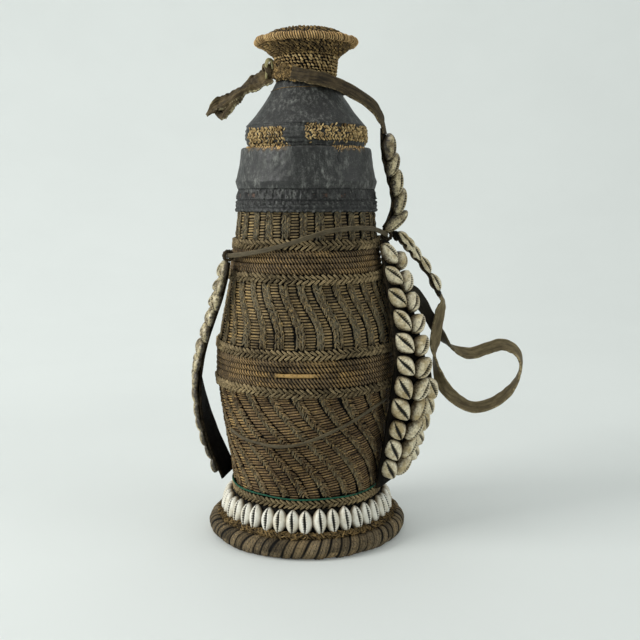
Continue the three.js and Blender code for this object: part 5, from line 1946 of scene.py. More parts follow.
EYE_RING = (GIRDLE + LEATHER) / 2 + 0.5
EYE_REACH = EYE_RING + LEATHER / 2
EYE_STAND_OFF = JUG.braid_thickness + 2 * GAP + EYE_REACH
LEFT_EYE_ANGLE, RIGHT_EYE_ANGLE = math.radians(205), math.radians(-8)
LEFT_EYE_LEVEL, RIGHT_EYE_LEVEL = SHOULDER - 8.7, SHOULDER + 5


def eye_middle(angle: float, level: float) -> Array:
    """Gives the middle of an eye."""
    return polar(JUG.at(level - EYE_REACH) + EYE_STAND_OFF, angle, level)


@dataclass
class Thongs:
    """The eyes, the girdle through them, the thin lower thong and the green thread."""

    girdle: float = GIRDLE
    lower: float = 1.6
    thread: float = THREAD

    def build(self) -> None:
        """Makes the thongs."""
        self._eye("left_eye_twist", LEFT_EYE_ANGLE, LEFT_EYE_LEVEL, "left_eye")
        self._eye("right_eye_twist", RIGHT_EYE_ANGLE, RIGHT_EYE_LEVEL, "right_eye")
        fit(self._girdle(), Look.GIRDLE_HIDE, "vessel", "leather", "girdle_thong")
        fit(self._lower(), Look.GIRDLE_HIDE, "vessel", "leather", "lower_thong")
        fit(self._thread(), Look.GREEN, "vessel", "green_thread", "green_thread")

    @staticmethod
    def _eye(name: str, angle: float, level: float, node: str) -> None:
        """Makes a twisted leather ring.

        Args:
            name: The piece's name.
            angle: Where it hangs, in radians.
            level: Its height.
            node: The solid that it stands for.
        """
        a, t = ring_grid(72, 14)
        lobes = np.abs(np.cos(t + 5 * a))
        size = 0.95 + 0.55 * lobes
        centre = eye_middle(angle, level)
        spoke = heading(angle) * np.cos(a)[..., None] + UP * np.sin(a)[..., None]
        face = tangent(angle)
        points = centre + (EYE_RING + size * np.cos(t))[..., None] * spoke + (size * np.sin(t))[..., None] * face
        # Painted shade in the creases between the twisted lobes.
        piece = grid_piece(name, points, wrap_rows=True, marks={"cavity": (1 - lobes) ** 2 * 0.7})
        fit(piece, Look.BROWN_HIDE, "vessel", "leather", node)

    def _girdle(self) -> Obj:
        """Makes the girdle: a folded thong in a closed loop through both eyes.

        Returns:
            The girdle.
        """
        front = ((220, -7), (238, -4), (258, 1), (273, 6), (288, 10), (305, 11.5), (328, 10.5))
        behind = ((20, 2), (60, -1), (100, -3), (140, -6), (178, -9))
        seat = JUG.braid_thickness + 2 * GAP + self.girdle / 2
        points = self._laid((*front, *behind), SHOULDER, -self.girdle, seat)
        points.insert(len(front), eye_middle(RIGHT_EYE_ANGLE, RIGHT_EYE_LEVEL))
        points.append(eye_middle(LEFT_EYE_ANGLE, LEFT_EYE_LEVEL))
        steps = 240
        middle = spline(points, np.arange(steps) / steps, closed=True)
        path = Path.through(middle, unit(middle * (1, 1, 0)), closed=True)
        section = oval(3.3, 2.3, 14, 3.0)
        fold = np.where((np.abs(section[:, 0]) < 0.6) & (section[:, 1] > 0), -0.45, 0.0)
        return swept("girdle_strip", path, section, closed=True, lift=np.broadcast_to(fold, (steps, len(fold))))

    @staticmethod
    def _laid(route: Sequence[tuple[float, float]], level: float, lower: float, seat: float) -> list[Array]:
        """Lays a route on the vessel.

        Args:
            route: Angles in degrees with rises over a level.
            level: That level.
            lower: How far from each height the vessel's radius is taken.
            seat: How far off that radius the points are.

        Returns:
            The points.
        """
        return [
            polar(JUG.at(level + rise + lower) + seat, math.radians(a), level + rise) for a, rise in route
        ]

    def _lower(self) -> Obj:
        """Makes the thin thong across the lower front.

        Returns:
            The thong.
        """
        left = ((211, 49), (223, 46), (237, 44.5), (250, 43.6), (263, 45.4))
        right = ((274, 49.1), (286, 54.5), (299, 60.4), (314, 67.3), (331, 72))
        points = self._laid((*left, *right), FOOT, 0.8, GAP + self.lower / 2 + 0.35)
        steps = 140
        middle = spline(points, np.linspace(0, 1, steps))
        path = Path.through(middle, unit(middle * (1, 1, 0)))
        width = 2.2 + 0.35 * np.sin(np.linspace(0, 23, steps))
        section = np.stack([oval(w, 1.5, 12, 2.6) for w in width])
        return swept("lower_strip", path, section)

    def _thread(self) -> Obj:
        """Makes the green thread: two plies in a ring over the foot plait.

        Returns:
            The thread.
        """
        level = FOOT + JUG.braid_height / 2 + GAP + self.thread / 2
        radius = JUG.at(level) + GAP + self.thread / 2 + 0.75
        a, t = ring_grid(900, 8)
        size = 0.42 + 0.24 * np.abs(np.cos(t + a * 70))
        z = level + 0.5 * ripple(a, 0 * a, 51, 8) + size * np.sin(t)
        return grid_piece("green_thread_ply", polar(radius + size * np.cos(t), a + 0 * t, z), wrap_rows=True, flip=True)


@dataclass
class SideStrap:
    """A strap that hangs on an eye, bows out from the belly and is sewn on above the foot."""

    eye_level: float
    width: float
    bow: float
    lean: float
    angles: tuple[float, float]
    faces: tuple[float, float]
    swing: float
    turn: float
    leather: float = LEATHER
    steps: int = 96

    def path(self) -> Path:
        """Gives the strap's stations, as the part's source works them out.

        Returns:
            The stations, from the eye down.
        """
        t = np.linspace(0, 1, self.steps + 1)
        ease = t * t * (3 - 2 * t)
        a0, a1, f0, f1 = np.radians([*self.angles, *self.faces])
        dip = self.width / 2 * abs(math.sin(f1 - a1))
        sewn = self.leather / 2 + 1.2 + dip
        top = self.eye_level - EYE_REACH - GAP
        bottom = FOOT + JUG.braid_height / 2 + GAP + THREAD + 2 * GAP
        z = top + (bottom - top) * t
        half = np.sin(math.pi * t)
        bowed = self.bow * np.sin(math.pi * t**self.lean)
        radius = JUG.radius(z) + EYE_STAND_OFF + (sewn - EYE_STAND_OFF) * ease + bowed
        angle = a0 + (a1 - a0) * ease + math.radians(self.swing) * half
        face = f0 + (f1 - f0) * ease + math.radians(self.turn) * half
        return Path.through(polar(radius, angle, z), heading(face))


@dataclass
class ShellStraps:
    """The leather straps with their herringbone columns of cowries, the lid's tab and the handle's root."""

    sewn: SewnCopies
    leather: float = LEATHER
    seat: float = 1.1
    slant: float = math.radians(45)
    steep: float = math.radians(52)

    def build(self) -> None:
        """Makes the straps and sews on their shells."""
        self._left()
        self._right()
        tab = tab_path()
        half = np.interp(np.linspace(0, 1, len(tab.middle)), (0, 0.1, 0.3, 1), (3.0, 3.6, 6.2, 6.8))
        self._strap("tether_tab_hide", tab, -half, half, "tether_tab")
        turned_up, long, look = math.radians(57), (1.5, 1.05, 1.2), Look.DIM_SHELL
        self._column(
            "tether_tab_cowries", tab, (0.1, 0.99), 5, -0.6, turned_up, "tether_tab_shells", 66, long, 0.1, look
        )
        root = root_path()
        half = np.full(len(root.middle), 4.75)
        self._strap("handle_root_hide", root, -half, half, "handle_root")
        turned_up, small, tilt = math.radians(74), (1.05, 0.9, 0.85), math.radians(48)
        self._column(
            "handle_root_cowries", root, (0.26, 0.98), 5, 0, turned_up, "handle_root_shells", 67, small, tilt
        )

    def _left(self) -> None:
        """Makes the left strap with its two columns."""
        path = SideStrap(LEFT_EYE_LEVEL, 24, 8.5, 1.7, (205, 178), (202, 162), 0, 6).path()
        half = 12 * (0.28 + 0.72 * smooth(np.linspace(0, 1, len(path.middle)), 0.34, 0.68))
        self._strap("left_strap_hide", path, -half, half, "left_strap")
        for place, side, seed in (("front", -1, 61), ("back", 1, 62)):
            self._column(
                f"left_cowries_{place}", path, (0.0, 0.965), 14, side * 6, side * self.slant,
                f"left_shells_{place}", seed, (1.15, 1.12, 0.85), look=Look.DIM_SHELL, taper=0.75,
            )

    def _right(self) -> None:
        """Makes the right strap with its two long columns and its short one."""
        path = SideStrap(RIGHT_EYE_LEVEL, 37, 8.5, 1.1, (-8, -16), (-20, -34), -12, -24).path()
        t = np.linspace(0, 1, len(path.middle))
        low = (0.55, 0.93)
        spread = smooth(t, 0, 0.12)
        back = 13.5 * (0.5 + 0.5 * spread) + 9.5 * window(t, low[0] - 0.12, low[0], low[1], 1)
        self._strap("right_strap_hide", path, -back, 13.5 + 3 * spread, "right_strap")
        big, bulky = (1.3, 1.34, 1.1), (1.3, 1.34, 1.3)
        for place, ends, count, aside, side, seed, bulk, tilt, rise in (
            ("front", (0.015, 0.965), 11, 7.4, -1, 63, big, 26, 0.0),
            ("middle", (0.035, 0.965), 11, -7.8, 1, 64, bulky, -4, 0.8),
            ("low", low, 5, -18.6, -1, 65, big, -14, 0.0),
        ):
            self._column(
                f"right_cowries_{place}", path, ends, count, aside, side * self.steep,
                f"right_shells_{place}", seed, bulk, math.radians(tilt), rise=rise,
            )

    def _strap(self, name: str, path: Path, back: Array, front: Array, node: str) -> None:
        """Makes a strap between two edges, with cut edges that wander a little.

        Args:
            name: The piece's name.
            path: The strap's stations.
            back: How far its back edge is from the middle, at each station.
            front: The same for its front edge.
            node: The solid that it stands for.
        """
        seed = sum(map(ord, name))
        run = np.linspace(0, 9, len(path.middle))
        back = back + 0.35 * ripple(run, 0 * run, seed, 9)
        front = front + 0.35 * ripple(run, 0 * run, seed + 1, 9)
        flat = oval(2.0, self.leather, 20, 6.0)
        middle, half = (front + back) / 2, (front - back) / 2
        x = middle[:, None] + flat[:, 0] * half[:, None]
        lift = 0.3 * ripple(run[:, None] + flat[None, :, 0] * 0.4, 0 * run[:, None], seed + 2, 8) - 0.0035 * x**2
        fit(swept(name, path, banded(flat, x), lift=lift), Look.STRAP_HIDE, "vessel", "leather", node)

    def _column(
        self,
        name: str,
        path: Path,
        ends: tuple[float, float],
        count: int,
        aside: float,
        slant: float,
        node: str,
        seed: int,
        bulk: Triple,
        tilt: float = 0.0,
        look: Look = Look.OLD_SHELL,
        taper: float = 0.0,
        rise: float = 0.0,
    ) -> None:
        """Sews a column of cowries to a strap.

        Args:
            name: The piece's name.
            path: The strap's stations.
            ends: Shares of the strap between which the shells are sewn.
            count: How many shells.
            aside: How far the column is from the strap's middle.
            slant: How the shells are turned.
            node: The solid that it stands for.
            seed: Fixes its unevenness.
            bulk: The shells' length, width and height against the usual cowrie.
            tilt: How far the shells' faces are turned across the strap.
            look: Their finish.
            taper: How much the column draws in at the strap's narrow top.
            rise: How far the shells stand off the strap.
        """
        draw = np.random.default_rng(seed)
        places, longs, outs = [], [], []
        share = ends[0] + (ends[1] - ends[0]) * (np.arange(count) + 0.5) / count
        close = 1 - taper * (1 - smooth(share, 0.34, 0.68))
        for i in range(count):
            s = path.at(float(share[i]))
            turn = slant + draw.normal(0, 0.09)
            longs.append(s.across * math.cos(turn) + s.along * math.sin(turn))
            seat = self.leather / 2 + self.seat + rise - 0.1 - 1.2 * abs(math.sin(tilt))
            places.append(s.middle + s.across * (aside * close[i] + draw.normal(0, 0.3)) + s.out * seat)
            aim = s.out * math.cos(tilt) + s.across * math.sin(tilt)
            longs[-1] = longs[-1] - aim * float(longs[-1] @ aim)
            outs.append(aim + s.across * draw.normal(0, 0.08) + s.along * draw.normal(0, 0.08))
        size = drawn_sizes(draw, count, (0.95, 1.05), (0.94, 1.06), (0.94, 1.06)) * np.array(bulk)
        spots = Spots()
        spots.add(np.array(places), np.array(longs), np.array(outs), size * (0.96 + 0.04 * close)[:, None])
        piece = self.sewn.set_out(name, self.sewn.cowrie, spots, look, seed, 0.03, 0.05)
        fit(piece, None, "vessel", "shell", node)


def tab_path() -> Path:
    """Gives the stations of the tab that rises beside the collar.

    Returns:
        The stations, from the top down.
    """
    bottom, top = RIGHT_EYE_LEVEL + EYE_REACH + GAP, RIM + 14
    top_radius = JUG.at(RIM) + GAP + COLLAR_WALL + 8.5
    low_radius = JUG.at(RIGHT_EYE_LEVEL - EYE_REACH) + EYE_STAND_OFF
    t = np.linspace(0, 1, 49)
    radius = top_radius + (low_radius - top_radius) * t + 7 * np.sin(math.pi * t * t)
    middles = polar(radius, RIGHT_EYE_ANGLE, top + (bottom - top) * t)
    return Path.through(middles, np.broadcast_to(heading(math.radians(-28)), middles.shape))


def root_path() -> Path:
    """Gives the stations of the strap that runs out from the right eye to the handle.

    Returns:
        The stations, from the eye outwards.
    """
    r = EYE_REACH
    offsets = (
        (r + GAP, -0.4, 0),
        (r + 3.5, 2, -0.6),
        (r + 9, 8.5, -5),
        (r + 16, 12, -13),
        (r + 26, 13.5, -26),
        (r + 37.4, 14.3, -45.5),
    )
    points = eye_middle(RIGHT_EYE_ANGLE, RIGHT_EYE_LEVEL) + np.array(offsets)
    return Path.hand_set(points, np.tile((0.75, -0.25, 0.6), (len(offsets), 1)), 60)


@dataclass
class HandleLoop:
    """The free leather strap that hangs in a loop on the right."""

    width: float = 9.5
    leather: float = LEATHER

    def build(self) -> None:
        route = (
            *((0.35, 0, -0.6), (2, 0.2, -4), (0.6, 0.8, -13), (-2.6, 2, -34), (-2.4, 3.5, -50), (3.8, 4, -69.4)),
            *((14.3, 3, -81), (26.4, 0, -86.6), (39.6, -2, -83.8), (53.3, -1, -74.5), (61.2, 2, -63.5)),
            *((64.1, 6, -54.1), (60.8, 10, -44.6), (51, 12, -40), (39.7, 13, -43), (25.8, 13, -47), (11.6, 12, -42)),
            *((1.9, 10, -31.4), (-8.3, 5, -15.2), (-19.5, -2.6, 1.5), (-30.5, -10, 9.4), (-35.5, -14.3, 16)),
        )
        faces = (
            *((0.75, -0.25, 0.6), (0.75, -0.25, 0.6), (0.6, -0.8, 0.1), (0.45, -0.9, 0), (1, 0.1, 0), (0.5, 0.8, -0.3)),
            *((0.1, 0.8, -0.6), (0, 0.8, -0.6), (0.3, 0.7, -0.6), (0.7, 0.4, -0.5), (0.95, 0, -0.2)),
            *((0.95, -0.3, 0.1), (0.6, -0.7, 0.4), (0, -0.85, 0.5), (-0.1, -0.85, 0.5), (0, -0.85, 0.5)),
            *((0.7, -0.1, 0.65), (0.6, 0.75, 0.2), (0.5, 0.8, 0.1), (-0.24, 0.95, -0.19)),
            *((-0.82, 0.45, -0.35), (-0.82, 0.45, -0.35)),
        )
        steps = 240
        path = Path.hand_set(np.array(route) + root_path().middle[-1], np.array(faces, float), steps)
        flat = oval(self.width, self.leather, 20, 5.0)
        run = np.linspace(0, 30, steps + 1)
        width = 1 + 0.03 * ripple(run, 0 * run, 71, 9)
        lift = 0.16 * ripple(run[:, None] + flat[None, :, 0] * 0.25, 0 * run[:, None], 72, 10)
        # Painted shade on the loop's far end, the back branch that hangs in shadow.
        dark = 0.9 * smooth(np.linspace(0, 1, steps + 1), 0.7, 0.85)
        strap = swept("handle_loop", path, banded(flat, flat[:, 0] * width[:, None]), lift=lift, dark=dark)
        fit(strap, Look.OLIVE_HIDE, "vessel", "leather", "handle_strap")


@dataclass(frozen=True)
class LidForm:
    """The lid's levels and radii, as the part's source works them out."""

    plug: float = JUG.at(RIM) - JUG.wall - 0.6
    coil_height: float = 15.0
    cone_height: float = 31.0
    neck_height: float = 18.0
    brim_radius: float = 37.2
    brim_edge: float = 5.6
    cone_top: float = 21.7
    neck_flare: float = 1.6

    # The lid sits on the collar, and its parts stand on each other
    seat: float = RIM + GAP
    cone_low: float = seat + coil_height + GAP
    cone_high: float = cone_low + cone_height
    neck_low: float = cone_high + GAP
    neck_high: float = neck_low + neck_height
    edge_level: float = neck_high + GAP + 6.6 + brim_edge / 2
    # The coil at its fullest, and the foot of the cone
    coil_radius: float = plug + GAP + 7.6
    cone_base: float = coil_radius - 1.5

    def radius(self, z: Array | float) -> Array:
        """Gives the radius from the foot of the cone to the top of the neck.

        Args:
            z: Heights.

        Returns:
            The radii there.
        """
        middle = (self.cone_low + self.cone_high) / 2
        hollow = (self.cone_base + self.cone_top) / 2 - 1.2
        levels = (self.cone_low, middle, self.cone_high, self.neck_high)
        return np.interp(z, levels, (self.cone_base, hollow, self.cone_top, self.cone_top + self.neck_flare))

    def at(self, z: float) -> float:
        """Gives that radius at one height."""
        return float(self.radius(z))


LID = LidForm()


@dataclass
class Lid:
    """The plug, the coiled rim, the pitched cone, the twined neck and the brim."""

    sewn: SewnCopies
    brim_wrap: float = 4.8
    brim_rows: int = 9

    def build(self) -> None:
        """Makes the lid."""
        self._plug()
        self._rim_coil()
        self._cone()
        self._neck()
        self._brim()

    @staticmethod
    def _plug() -> None:
        """Makes the coiled plug inside the mouth."""
        low, high = RIM - 18, LID.cone_low - GAP
        rows, row_steps = 14, 4
        rises = [(high - low) * k / (rows * row_steps) for k in range(rows * row_steps + 1)]
        joints = [1 - scallop(k, row_steps) for k in range(rows * row_steps + 1)]
        outline = [(LID.plug - 0.5 * joint, low + rise) for joint, rise in zip(joints, rises)]
        outline += [(LID.plug - 4.4 + 0.4 * joint, high - rise) for joint, rise in zip(joints, rises)]

        def marks(a: Array, z: Array, share: Array) -> Marks:
            """Paints shade in the joints of the coils."""
            joint = 1 - np.abs(np.sin(math.pi * (z - low) / (high - low) * rows))
            return {"cavity": joint**2 * 0.8, "tone": 0.5 + 0.4 * ripple(a * 3, z, 81)}

        fit(turned("lid_plug_coils", outline, 128, marks=marks), Look.COIL, "lid", "weave_fibre", "lid_plug")

    @staticmethod
    def _bare(a: Array, z: Array) -> Array:
        """Gives 1 where the pitch has worn off the lid's coil.

        Args:
            a: Angles in radians.
            z: Heights.

        Returns:
            The share that is worn, from 0 to 1.
        """
        turn = np.degrees(a) % 360
        up = (z - LID.seat) / LID.coil_height
        left = window(turn, 198, 206, 246, 256) * (1 - smooth(up, 0.75, 0.95))
        right = window(turn, 262, 276, 358, 364) + smooth(-turn, -6, 0)
        right = right * smooth(up, 0.12, 0.3) * (1 - smooth(up + 0.1 * np.sin(a * 9), 0.95, 1.08))
        behind = window(turn, 40, 60, 120, 150) * smooth(up, 0.2, 0.4)
        ragged = 0.5 + 0.5 * ripple(a * 4, z * 3, 82, 16, 12.0)
        return np.clip((left + right + behind) * (0.75 + 0.5 * ragged), 0, 1)

    def _rim_coil(self) -> None:
        """Makes the coiled rim with its coat of pitch and the fibre under it."""
        top, bore, full = LID.cone_low - GAP, LID.plug + GAP, LID.coil_radius
        levels = (LID.seat, LID.seat + 6.75, LID.seat + 12, top)
        reaches = (full - 2.5, full, full - 0.6, LID.cone_base)
        zs = np.linspace(LID.seat, top, 26)
        outline = [(bore, LID.seat)] + list(zip(np.interp(zs, levels, reaches), zs)) + [(bore, top)]

        def relief(a: Array, z: Array, share: Array) -> Array:
            """Sinks the bare places and lumps the coat.

            Args:
                a: Angles in radians.
                z: Heights.
                share: Places along the outline, from 0 to 1.

            Returns:
                How far the points are raised.
            """
            rows = 0.25 * np.cos((z - LID.seat) / LID.coil_height * FULL_TURN * 5)
            inside = (share > 0.02) & (share < 0.98)
            return np.where(inside, rows - 1.1 * self._bare(a, z) + 0.22 * ripple(a * 2, z * 2, 83), 0)

        def marks(a: Array, z: Array, share: Array) -> Marks:
            """Paints shade on the bare places behind the fibre."""
            return {"cavity": self._bare(a, z) * 0.8}

        coat = turned("lid_rim_coat", outline, 320, relief=relief, marks=marks)
        fit(coat, Look.PITCH, "lid", "tan_fibre", "lid_rim_coil")
        draw = np.random.default_rng(84)
        spots = Spots()
        rows, count = 8, 158
        for row in range(rows):
            z = LID.seat + LID.coil_height * (row + 0.5) / rows
            radius = float(np.interp(z, levels, reaches))
            angle = (np.arange(count) + 0.5 * (row % 2)) * FULL_TURN / count + draw.normal(0, 0.008, count)
            angle = angle[draw.random(count) < self._bare(angle, np.full(count, z)) * 1.1 - 0.1]
            kept = len(angle)
            places = polar(radius - 0.55 + draw.normal(0, 0.15, kept), angle, z + draw.normal(0, 0.3, kept))
            long = tangent(angle) * 0.6 + UP * (0.8 if row % 2 else -0.8)
            spots.add(places, long, heading(angle), (1.3, 0.56, 0.8), worn=draw.random(kept) ** 2 * 0.9)
        piece = self.sewn.set_out("lid_rim_fibre", self.sewn.grain, spots, Look.TAN, 85, 0.25, 0.4)
        fit(piece, None, "lid", "tan_fibre")

    @staticmethod
    def _cone() -> None:
        """Makes the pitched cone and the pale thread tied round its top."""
        zs = np.linspace(LID.cone_low - 0.2, LID.cone_high, 40)
        share = (zs - LID.cone_low) / LID.cone_height
        curve = LID.cone_base + (LID.cone_top - LID.cone_base) * share - 1.6 * np.sin(math.pi * np.clip(share, 0, 1))
        outline = list(zip(curve, zs)) + [(0.0, LID.cone_high), (0.0, LID.cone_high - 6)]
        outline += [(LID.at(z) - 4, z) for z in np.linspace(LID.cone_high - 6, LID.cone_low, 12)]

        def relief(a: Array, z: Array, share: Array) -> Array:
            """Gives the coat its faint lumps."""
            return 0.16 * ripple(a, z, 86, 16, 12.0) + 0.08 * ripple(a * 3, z, 87, 20, 5.0)

        fit(turned("lid_cone_coat", outline, 240, relief=relief), Look.PITCH, "lid", "pitch_coat", "lid_cone")
        a = np.arange(160) * FULL_TURN / 160
        z = LID.cone_high - 5.5 + 1.1 * np.cos(a + 0.6) + 0.25 * np.sin(5 * a)
        middle = polar(np.interp(z, zs, curve) + 0.35, a, z)
        path = Path.through(middle, heading(a), closed=True)
        fit(swept("lid_cone_thread", path, oval(0.45, 0.45, 6, 2.0), closed=True), Look.TAN, "lid", "tan_fibre")

    def _twined(self, name: str, rings: Sequence[Triple], look: Look, seed: int) -> None:
        """Sets twined strands out in staggered rings over a surface.

        Args:
            name: The piece's name.
            rings: Radius, height and the outward tilt from level of each ring.
            look: Its finish.
            seed: Fixes its unevenness.
        """
        draw = np.random.default_rng(seed)
        spots = Spots()
        for row, (radius, level, tilt) in enumerate(rings):
            count = max(6, round(FULL_TURN * radius / 2.7))
            angle = (np.arange(count) + 0.5 * (row % 2)) * FULL_TURN / count + draw.normal(0, 0.01, count)
            places = polar(radius + draw.normal(0, 0.12, count), angle, level + draw.normal(0, 0.12, count))
            out = heading(angle) * math.cos(tilt) + UP * math.sin(tilt)
            side = tangent(angle)
            long = side * 0.8 + np.cross(out, side) * -0.6
            spots.add(places, long, out, (1.35, 0.72, 0.95), worn=draw.random(count) ** 3 * 0.9)
        fit(self.sewn.set_out(name, self.sewn.grain, spots, look, seed, 0.2, 0.28), None, "lid", "coil_fibre")

    def _neck(self) -> None:
        """Makes the twined neck with its dark holes."""
        zs = np.linspace(LID.neck_low - 0.3, LID.neck_high + 0.3, 20)
        outline = [(LID.at(z) - 1.2, z) for z in zs]
        outline += [(LID.at(z) - 5, z) for z in zs[::-1]]

        def marks(a: Array, z: Array, share: Array) -> Marks:
            """Paints shade on the wall that shows in the holes."""
            return {"cavity": np.full(a.shape, 0.9)}

        fit(turned("lid_neck_wall", outline, 96, marks=marks), Look.COIL, "lid", "coil_fibre", "lid_neck")
        levels = np.arange(LID.neck_low + 1.1, LID.neck_high + 0.5, 2.15)
        self._twined("lid_neck_twine", [(LID.at(z) - 0.75, z, 0.0) for z in levels], Look.TAN, 88)

    def _brim(self) -> None:
        """Makes the brim: its twined underside, its coiled dome and its wrapped edge."""
        inner = LID.brim_radius - self.brim_wrap - 0.1
        low, edge = LID.neck_high + GAP, LID.edge_level
        start = LID.at(LID.neck_high)
        under_edge, dome_low = edge - LID.brim_edge / 2, edge + LID.brim_edge / 4
        outline = [(0.0, low), (start - 1, low), (inner, under_edge + 0.8), (inner, dome_low - 0.6)]

        def dome(r: float) -> float:
            """Gives the height of the dome at a radius."""
            return dome_low + 8.4 * (1 - (r / inner) ** 4.2) - 0.5

        row_steps = 6
        steps = self.brim_rows * row_steps
        for k in range(1, steps + 1):
            r = inner * (1 - k / steps)
            outline.append((r, dome(r) - 0.45 * (1 - scallop(k, row_steps))))

        def marks(a: Array, z: Array, share: Array) -> Marks:
            """Paints shade on the brim behind its strands."""
            return {"cavity": np.full(a.shape, 0.75), "tone": 0.4 + 0.3 * ripple(a, z, 89)}

        brim = turned("lid_brim_coils", outline, 128, closed=False, marks=marks)
        fit(brim, Look.COIL, "lid", "coil_fibre", "lid_brim")
        shares = np.linspace(0.03, 0.97, 7)
        under = [(start + (inner - start) * s, low + (under_edge - low + 0.6) * s - 0.1, -0.95) for s in shares]
        self._twined("lid_brim_under", under, Look.BROWN, 90)
        over = []
        rings = self.brim_rows + 4
        for k in range(rings):
            r = inner * (1 - (k + 0.4) / rings)
            slope = dome(max(r - 0.5, 0)) - dome(r + 0.5)
            over.append((r, dome(r) - 0.25, math.pi / 2 - math.atan(slope)))
        self._twined("lid_brim_over", over, Look.BROWN, 91)
        middle = LID.brim_radius - self.brim_wrap / 2
        ring = wrapped_ring("lid_brim_wrap", middle, edge + 0.2, self.brim_wrap, 132, 0.7, 92, 0.4, sides=14)
        fit(ring, Look.GOLD, "lid", "tan_fibre", "lid_brim_edge")


